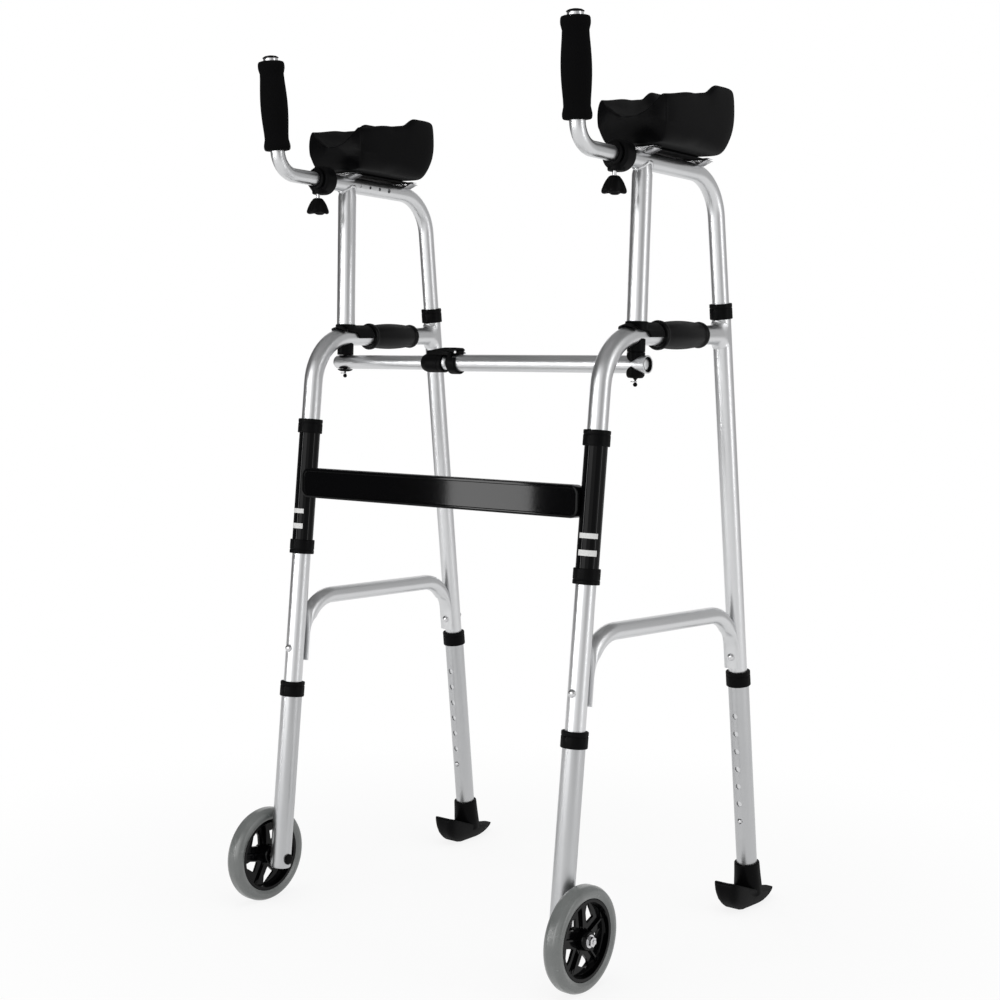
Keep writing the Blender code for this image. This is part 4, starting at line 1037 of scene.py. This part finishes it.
for name, side in both_sides:
    knob = turned(knob_outline, Matrix.Identity(4), 120)
    for vert in knob.verts:
        if vert.co.xy.length < 0.0001:
            continue
        depth = min(max(-vert.co.z / knob_depth, 0.0), 1.0)
        wave = cos(4 * (vert.co.xy.angle_signed(Vector((1, 0)), 0.0) - lobe_turn))
        lobe = 1 - 2 * ((1 - wave) / 2) ** 1.8
        vert.co.xy *= 1 + lobe_flare * depth ** 0.7 * lobe
        vert.co.z -= 0.0006 * depth * depth * (lobe - 1)
    top = arm_plane(side, knob_y, knob_top_z)
    bmesh.ops.translate(knob, vec=top, verts=knob.verts)
    keep(knob, f"wing_knob_{name}_visual", nylon, f"wing_knob_{name}", crease=60.0)
    screw = rod(top - UP * 0.001, top + UP * 0.012, 0.0026, 0.0003, 24)
    keep(screw, f"knob_screw_{name}", plated_steel, f"wing_knob_{name}", "steel")


# Handles
# Thin aluminium tube bent up at the front, with a foam grip. A plated ring and a black cap close the
# top of each tube.

soft_foam = Finish("soft_foam", (0.0022, 0.0022, 0.0024), 0.9, specular=0.04)
pores = soft_foam.cells(1300.0)
soft_foam.tint((0.0045, 0.0045, 0.0048), pores)
soft_foam.bump(pores, 0.00025, 0.6)

handle_y = -0.2258
handle_lean = -0.1085
handle_splay = 0.022
handle_bend = 0.031
handle_top_z = 1.1318
tip_ring = eased([(0.0, 0.0014), (0.0098, 0.0014), (0.0098, -0.0026), (0.0, -0.0026)], 0.0005)
tip_cap = [(0.0, 0.005), (0.004, 0.0048), (0.0075, 0.0041), (0.0098, 0.0029), (0.0106, 0.0021),
           (0.0103, 0.0014), (0.0, 0.0014)]
swell_steps = 12


def handle_line(side, z):
    """The upright part of a handle leans forward, and slightly outward, as it rises."""
    rise = z - arm_z
    return arm_plane(side, handle_y + handle_lean * rise, z, handle_splay * rise)


for name, side in both_sides:
    corner = handle_line(side, arm_z)
    top = handle_line(side, handle_top_z - 0.003)
    handle_path = bend_line([arm_plane(side, -0.075, arm_z), corner, top], handle_bend)
    handle = drawn(handle_path, handle_tube_radius)
    keep(handle, f"handle_bar_{name}", satin_aluminium, f"handle_tube_{name}")
    tip = facing(top, top - corner)
    keep(turned(tip_ring, tip), f"handle_ring_{name}", plated_steel, f"handle_tube_{name}", "steel")
    keep(turned(tip_cap, tip), f"handle_cap_{name}", nylon, f"handle_tube_{name}", "matt_black")

    low = handle_line(side, 1.0122)
    high = handle_line(side, 1.1262)
    length = (high - low).length
    outline = [(bush_bore, length), (0.014, length), (0.0162, length - 0.0008), (0.0172, length - 0.0026),
               (0.0175, length - 0.006), (0.0174, length - 0.009), (0.0166, length - 0.0125),
               (0.0157, length - 0.0158)]
    for step in range(1, swell_steps):
        share = step / swell_steps
        swell_radius = 0.0156 + 0.0024 * sin(pi * share) ** 1.2
        outline.append((swell_radius, length - 0.0165 - share * (length - 0.032)))
    outline += [(0.0158, 0.015), (0.0166, 0.0112), (0.0174, 0.0075), (0.0175, 0.0045), (0.017, 0.0018),
                (0.0158, 0.0004), (0.0138, 0.0), (bush_bore, 0.0)]
    foam = turned(outline, facing(low, high - low), 48)
    grip = keep(foam, f"foam_sleeve_{name}", soft_foam, f"foam_grip_{name}")


# Lower legs
# Wider aluminium tubes that slide over the upper legs under a nylon ring. A row of height holes is
# drilled in one face, and a sprung steel button fills the lowest of them.

drawn_aluminium = Finish("drawn_aluminium", (0.44, 0.445, 0.455), 0.32, 1.0)
handling = drawn_aluminium.noise(16.0, 3.0)
slide_marks = drawn_aluminium.noise(320.0, 2.0, (1.0, 1.0, 0.03))
drawn_aluminium.tint((0.54, 0.545, 0.55), handling * 0.5 + slide_marks * 0.4)
drawn_aluminium.rough(0.26 + handling * 0.08 + slide_marks * 0.08)
drawn_aluminium.bump(slide_marks, 0.00008, 0.3)

leg_radius = 0.014
leg_bore = 0.0129
button_z = 0.124
hole_pitch = 0.025
hole_count = 7
wheel_radius = 0.0635
axle_z = wheel_radius * cos(pi / 24)
axle_y = front_leg(1, axle_z).y
leg_ring = collar_outline(0.0165, 0.01, leg_radius + 0.0004, 0.0045, frame_tube_radius + 0.0005)
button_dome = [(0.0, 0.0158), (0.0012, 0.0156), (0.0023, 0.0151), (0.0031, 0.0143), (0.0034, 0.0132),
               (0.0034, 0.004), (0.0, 0.004)]

for name, side in both_sides:
    for end, leg, bottom_z, collar_z, bore_z, foot_ease, outward in (
            ("front", front_leg, 0.05, 0.293, 0.09, 0.003, 1),
            ("rear", rear_leg, 0.03, 0.323, 0.07, 0.0006, -1)):
        axis = leg_axis(leg, side)
        normal = square_to_leg(leg, side) * outward
        low = leg(side, bottom_z)
        length = (leg(side, collar_z + 0.005) - low).length
        depth = (leg(side, bore_z) - low).length
        outside = eased([(0.0, 0.0), (leg_radius, 0.0), (leg_radius, length)], foot_ease)
        tube = turned(outside + [(leg_bore, length), (leg_bore, depth), (0.0, depth)], facing(low, axis), 72)
        holes = bmesh.new()
        for step in range(hole_count):
            middle = leg(side, button_z) + axis * hole_pitch * step
            rod(middle + normal * 0.006, middle + normal * 0.02, 0.004, steps=24, shape=holes)
        tube = carved(tube, holes)
        if end == "front":
            middle = side_plane(side, axle_y, axle_z)
            tube = drilled(tube, middle - ACROSS * 0.03, middle + ACROSS * 0.03, 0.0044, 32)
        keep(tube, f"{end}_lower_leg_{name}", drawn_aluminium, f"{end}_extension_{name}")
        ring = turned(leg_ring, on_leg(leg, side, collar_z))
        keep(ring, f"{end}_leg_ring_{name}", nylon, f"{end}_collar_{name}")
        button = turned(button_dome, facing(leg(side, button_z), normal), 24)
        keep(button, f"{end}_snap_button_{name}", plated_steel, f"{end}_button_{name}")


# Wheels
# A moulded black wheel centre with five openings and a solid grey tyre, on a bolt through the
# lower leg. The bolt has a domed head inside and a hex nut outside.

tyre_rubber = Finish("tyre_rubber", (0.095, 0.102, 0.099), 0.34, specular=0.8)
tyre_cloud = tyre_rubber.noise(55.0, 4.0)
tyre_grain = tyre_rubber.noise(900.0, 3.0)
tyre_rubber.tint((0.215, 0.225, 0.22), tyre_cloud * 0.4 + tyre_grain * 0.5)
tyre_rubber.rough(0.18 + tyre_cloud * 0.14)
tyre_rubber.bump(tyre_grain, 0.00016, 0.5)

wheel_x = 0.2634
wheel_steps = 96
opening_count = 5
first_opening = {"left": radians(27.0), "right": radians(-29.0)}


def mirrored(outline):
    """A half section, and the same in reverse on the other side of height zero."""
    return outline + [(radius, -height) for radius, height in reversed(outline)]


tread = mirrored([(0.0492, 0.0098), (0.054, 0.0118), (0.0604, 0.011), (wheel_radius, 0.005)])
centre = mirrored([(0.0045, 0.0135), (0.0105, 0.0135), (0.0117, 0.012), (0.0124, 0.006), (0.0136, 0.002),
                   (0.0424, 0.0016), (0.0436, 0.003), (0.0446, 0.0096), (0.045, 0.01), (0.0483, 0.01),
                   (0.0488, 0.0094)])
kite = [(0.0408, -0.0116), (0.0408, 0.0116), (0.0295, 0.009), (0.018, 0.0), (0.0295, -0.009)]
opening = eased(kite + kite[:1], 0.002, 3)[1:-1]
rib = [(0.012, 0.001), (0.012, 0.005), (0.018, 0.0036), (0.034, 0.0036), (0.0438, 0.005),
       (0.0438, 0.001)]
shank = [(0.0, 0.2815), (0.004, 0.2815), (0.004, 0.2192), (0.0, 0.2192)]
nut = [(0.0, 0.2824), (0.004, 0.2824), (0.0062, 0.2816), (0.0062, 0.2777), (0.0, 0.2777)]
washer = [(0.004, 0.2777), (0.0078, 0.2777), (0.008, 0.2774), (0.008, 0.2771), (0.004, 0.2771)]
thread_end = [(0.0, 0.2824), (0.003, 0.2824), (0.003, 0.2836), (0.0024, 0.2841), (0.0, 0.2841)]
cap_dome = eased([(0.0, 0.2165), (0.0052, 0.2168), (0.0072, 0.218), (0.0072, 0.2192), (0.0, 0.2192)], 0.0008)

for name, side in both_sides:
    hub = facing(Vector((side * wheel_x, axle_y, axle_z)), ACROSS * side, UP)
    keep(turned(eased(tread, 0.006), hub, wheel_steps), f"wheel_tyre_{name}", tyre_rubber, f"tyre_{name}")

    turns = [hub @ Matrix.Rotation(first_opening[name] + pi * step / opening_count, 4, "Z")
             for step in range(2 * opening_count)]
    openings = bmesh.new()
    for turn in turns[::2]:
        slab(opening, 0.03, turn, openings)
    disc = carved(turned(centre, hub, wheel_steps), openings)
    for turn in turns[1::2]:
        for way in (-1, 1):
            slab(rib, 0.002, turn @ Matrix.Rotation(pi / 2 * way, 4, "X"), disc)
    keep(disc, f"wheel_centre_{name}", gloss_paint, f"rim_{name}", crease=32.0)

    axle = facing(Vector((0.0, axle_y, axle_z)), ACROSS * side, UP)
    bolt = bmesh.new()
    for outline, steps in ((shank, 32), (nut, 6), (washer, 32), (thread_end, 24)):
        turned(outline, axle, steps, bolt)
    keep(bolt, f"wheel_bolt_{name}", plated_steel, f"axle_{name}")
    keep(turned(cap_dome, axle, 32), f"bolt_cap_{name}", nylon, f"axle_{name}", "matt_black")


# Feet
# Moulded black sockets on the rear legs, each with a boat-shaped glide whose front and tail turn up
# so that the walker slides forward.

# Each station along the glide: how far back it is, its top, its bottom and its half width.
glide_stations = [(0.1518, 0.0388, 0.0345, 0.0098), (0.1522, 0.0406, 0.0318, 0.0122),
                  (0.153, 0.0421, 0.0282, 0.0142), (0.1544, 0.0428, 0.0238, 0.0158),
                  (0.1565, 0.0427, 0.019, 0.017), (0.16, 0.0418, 0.0136, 0.0179),
                  (0.165, 0.0402, 0.009, 0.0185), (0.172, 0.0378, 0.0048, 0.0188),
                  (0.18, 0.035, 0.0018, 0.019), (0.19, 0.0315, 0.0, 0.019),
                  (0.208, 0.0262, 0.0, 0.0187), (0.226, 0.0214, 0.0, 0.018),
                  (0.236, 0.0186, 0.0008, 0.0168), (0.246, 0.0164, 0.0024, 0.015),
                  (0.255, 0.015, 0.0044, 0.0128), (0.263, 0.0142, 0.0066, 0.0102),
                  (0.27, 0.0138, 0.0084, 0.0072), (0.2735, 0.0134, 0.0094, 0.005),
                  (0.2745, 0.0128, 0.0102, 0.0034)]
hull = [(0.3, 0.0), (0.42, 0.0), (0.58, 0.06), (0.72, 0.14), (0.84, 0.3), (0.93, 0.5), (0.98, 0.72),
        (1.0, 0.88), (0.99, 0.96), (0.94, 1.0), (0.6, 1.0)]
hull += [(-across, rise) for across, rise in reversed(hull)]
socket_wall = eased([(0.0, 0.0), (0.02, 0.0), (0.0191, 0.013), (0.018, 0.03), (0.0173, 0.0455),
                     (0.0, 0.0455)], 0.0014)

for name, side in both_sides:
    shoe = bmesh.new()
    rings = []
    for y, top, bottom, half in glide_stations:
        spots = [side_plane(side, y, bottom + rise * (top - bottom), across * half) for across, rise in hull]
        rings.append(closed_loop(shoe, spots))
    skinned(shoe, rings)
    shoe = carved(shoe, turned(socket_wall, on_leg(rear_leg, side, 0.0165)), "UNION")
    shoe = drilled(shoe, rear_leg(side, 0.0296), rear_leg(side, 0.08), leg_radius + 0.0004, 64)
    keep(shoe, f"glide_{name}", nylon, f"foot_{name}", crease=50.0)


# Cross tubes
# Two tubes that meet end to end under the handrails. The left one is thinner and domed at both ends.
# The right one ends in a black plug, set in the tube round a bright disc.

bar_z = 0.739
left_bar_radius = 0.0095
left_bar_x = -0.259
left_bar_length = 0.207
right_bar_radius = 0.011
right_bar_x = -0.044


def on_bar(x, out=0.0, rise=0.0):
    """A point on the cross tubes' line, or as far behind and above it as given."""
    return Vector((x, pin_y + out, bar_z + rise))


def bar_place(x):
    return facing(on_bar(x), ACROSS, UP)


def pin_drilled(bar, side):
    """Bores the upright hole for the pivot pin."""
    return drilled(bar, pin_line(side, bar_z - 0.02), pin_line(side, bar_z + 0.02), pin_bore, 32)


dome = [(0.0, 0.0), (0.003, 0.0003), (0.0056, 0.0013), (0.0078, 0.003), (0.0091, 0.0052),
        (left_bar_radius, 0.0078)]
outline = [(radius, left_bar_length - height) for radius, height in dome] + dome[::-1]
bar = pin_drilled(turned(outline, bar_place(left_bar_x)), -1)
keep(bar, "left_cross_bar", satin_aluminium, "cross_tube_left")

outline = [(0.0, 0.3012), (0.0035, 0.3009), (0.0062, 0.3), (0.008, 0.299), (0.009, 0.298),
           (0.0094, 0.298), (0.0094, 0.3024), (0.0098, 0.3027), (0.0106, 0.3027), (0.011, 0.3023),
           (right_bar_radius, 0.0), (0.0, 0.0)]
bar = pin_drilled(turned(outline, bar_place(right_bar_x)), 1)
keep(bar, "right_cross_bar", satin_aluminium, "cross_tube_right")
outline = [(0.0087, 0.2984), (0.0093, 0.2984), (0.0093, 0.3025), (0.009, 0.3026), (0.0087, 0.3022)]
keep(turned(outline, bar_place(right_bar_x)), "bar_plug", nylon, "cross_tube_right", "matt_black")


# Pivot pins
# Upright steel-cored pins that hang in the bosses. A dished washer carries the left tube, two coped
# cups hold the right one, and a split ring goes through each pin's tip.

pin_top_z = 0.7585
ball_radius = 0.0027
wire_radius = 0.00045
ring_radius = 0.0036
ring_steps = 60


def ball_tip(side, ball_z):
    """The pin itself, from the boss down to a small ball."""
    outline = [(0.0, pin_top_z), (0.0024, pin_top_z), (0.0029, pin_top_z - 0.001), (0.0029, ball_z + 0.0078),
               (0.0024, ball_z + 0.0066), (0.0012, ball_z + 0.0056), (0.0011, ball_z + 0.0024)]
    for angle in range(60, -90, -15):
        outline.append((ball_radius * cos(radians(angle)), ball_z + ball_radius * sin(radians(angle))))
    outline.append((0.0, ball_z - ball_radius))
    return turned(outline, facing(pin_line(side, 0.0), UP), 32)


def split_ring(side, z):
    """Two turns of plated wire through the pin's neck."""
    middle = pin_line(side, z) - ALONG * 0.0032 - UP * wire_radius
    line = []
    for step in range(ring_steps + 1):
        turn = step / ring_steps
        out = ALONG * cos(4 * pi * turn) + ACROSS * sin(4 * pi * turn)
        line.append(middle + out * ring_radius + UP * 2 * wire_radius * turn)
    return drawn(line, wire_radius, 10, UP)


pin = ball_tip(-1, 0.72)
top = bar_z - left_bar_radius - 0.0003
dished_washer = [(0.0, top), (0.0098, top), (0.0104, top - 0.0004), (0.0103, top - 0.0011),
                 (0.0088, top - 0.002), (0.007, top - 0.0028), (0.0045, top - 0.0033), (0.0, top - 0.0035)]
turned(dished_washer, facing(pin_line(-1, 0.0), UP), 48, pin)
keep(pin, "left_pin", nylon, "pivot_pin_left")
keep(split_ring(-1, 0.7234), "left_split_ring", plated_steel, "pivot_pin_left", "steel")

pin = ball_tip(1, 0.7145)
upper_cup = [(0.0, 0.7537), (0.0106, 0.7537), (0.0112, 0.7531), (0.0112, 0.7405), (0.0, 0.7405)]
lower_cup = [(0.0, 0.7375), (0.0112, 0.7375), (0.0112, 0.7262), (0.0107, 0.7247), (0.0097, 0.7234),
             (0.0088, 0.7226), (0.006, 0.7222), (0.0, 0.7222)]
for outline in (upper_cup, lower_cup):
    cup = turned(outline, facing(pin_line(1, 0.0), UP), 56)
    joined(pin, drilled(cup, on_bar(0.2), on_bar(0.28), right_bar_radius + 0.0006, 64))
keep(pin, "right_pin", nylon, "pivot_pin_right")
keep(split_ring(1, 0.7179), "right_split_ring", plated_steel, "pivot_pin_right", "steel")


# Folding clip
# A nylon sleeve with a catch on the left tube, and a collar with a lug on the right one. The lever
# is riveted to the lug and snaps down over the sleeve, which locks the two tubes in line.

rivet = on_bar(-0.0365, 0.0, 0.014)
lug_half = ALONG * 0.0048
side_view = facing(on_bar(0.0), -ALONG)


def block(low, high, width=0.0):
    """A box between two corners, with softened edges where a width is given."""
    shape = bmesh.new()
    place = Matrix.Translation((low + high) / 2) @ Matrix.Diagonal((*(high - low), 1.0))
    bmesh.ops.create_cube(shape, size=1.0, matrix=place)
    if width:
        soften(shape, list(shape.edges), width, 2)
    return shape


bore = left_bar_radius + 0.0003
outline = eased([(bore, 0.0349), (0.0118, 0.0349), (0.0129, 0.034), (0.0129, 0.029), (0.0125, 0.0286),
                 (0.0125, 0.0276), (0.0129, 0.0272), (0.0129, 0.009), (0.0123, 0.0048), (0.0112, 0.0014),
                 (0.0103, 0.0), (bore, 0.0)], 0.0005, 3)
catch = block(on_bar(-0.0735, -0.0034, 0.0115), on_bar(-0.066, 0.0034, 0.0141), 0.0008)
socket = carved(turned(outline, bar_place(-0.0937)), catch, "UNION")
keep(socket, "socket_sleeve", nylon, "clip_socket")

outline = [(0.0, 0.0141), (0.014, 0.0141), (0.0148, 0.0133), (0.0148, 0.0012), (0.0136, 0.0), (0.0, 0.0)]
collar = turned(eased(outline, 0.0006), bar_place(-0.0481), 72)
lug_foot = block(rivet - lug_half - ACROSS * 0.0038 - UP * 0.0035, rivet + lug_half + ACROSS * 0.0038)
collar = carved(collar, lug_foot, "UNION")
collar = carved(collar, rod(rivet - lug_half, rivet + lug_half, 0.0036), "UNION")
collar = drilled(collar, on_bar(-0.0443), on_bar(0.0), right_bar_radius + 0.0003, 64)
collar = drilled(collar, rivet - ALONG * 0.03, rivet + ALONG * 0.03, 0.0022, 24)
for near, far in ((-0.03, -0.005), (0.005, 0.03)):
    collar = carved(collar, block(on_bar(-0.0412, near, 0.007), on_bar(-0.01, far, 0.03)))
keep(collar, "lug_collar", nylon, "clip_collar")

outline = [(-0.085, 0.01), (-0.0505, 0.01), (-0.0492, 0.0145), (-0.0395, 0.0145), (-0.0395, 0.0105),
           (-0.0345, 0.0105), (-0.0318, 0.0122), (-0.0313, 0.014), (-0.0322, 0.0166), (-0.0342, 0.0189),
           (-0.0365, 0.02), (-0.0545, 0.02), (-0.066, 0.0188), (-0.078, 0.0166), (-0.0838, 0.0162),
           (-0.085, 0.015)]
lever = slab(outline, 0.017, side_view)
bmesh.ops.recalc_face_normals(lever, faces=lever.faces)
soften(lever, sharp_edges(lever, 50), 0.0009)
channel = [(-0.0815, 0.0), (-0.02, 0.0), (-0.02, 0.0175), (-0.0545, 0.0175), (-0.0815, 0.0143)]
lever = carved(lever, slab(channel, 0.0102, side_view))
lever = drilled(lever, on_bar(-0.1), on_bar(-0.05), 0.0133, 64)
keep(lever, "clip_lever", nylon, "latch_lever", crease=44.0)
rivet_head = [(0.0, 0.0098), (0.0012, 0.0096), (0.0021, 0.0091), (0.0025, 0.0086), (0.0018, 0.0085)]
rivet_shape = turned(mirrored(rivet_head), facing(rivet, ALONG), 32)
keep(rivet_shape, "clip_rivet", plated_steel, "latch_lever", "steel")
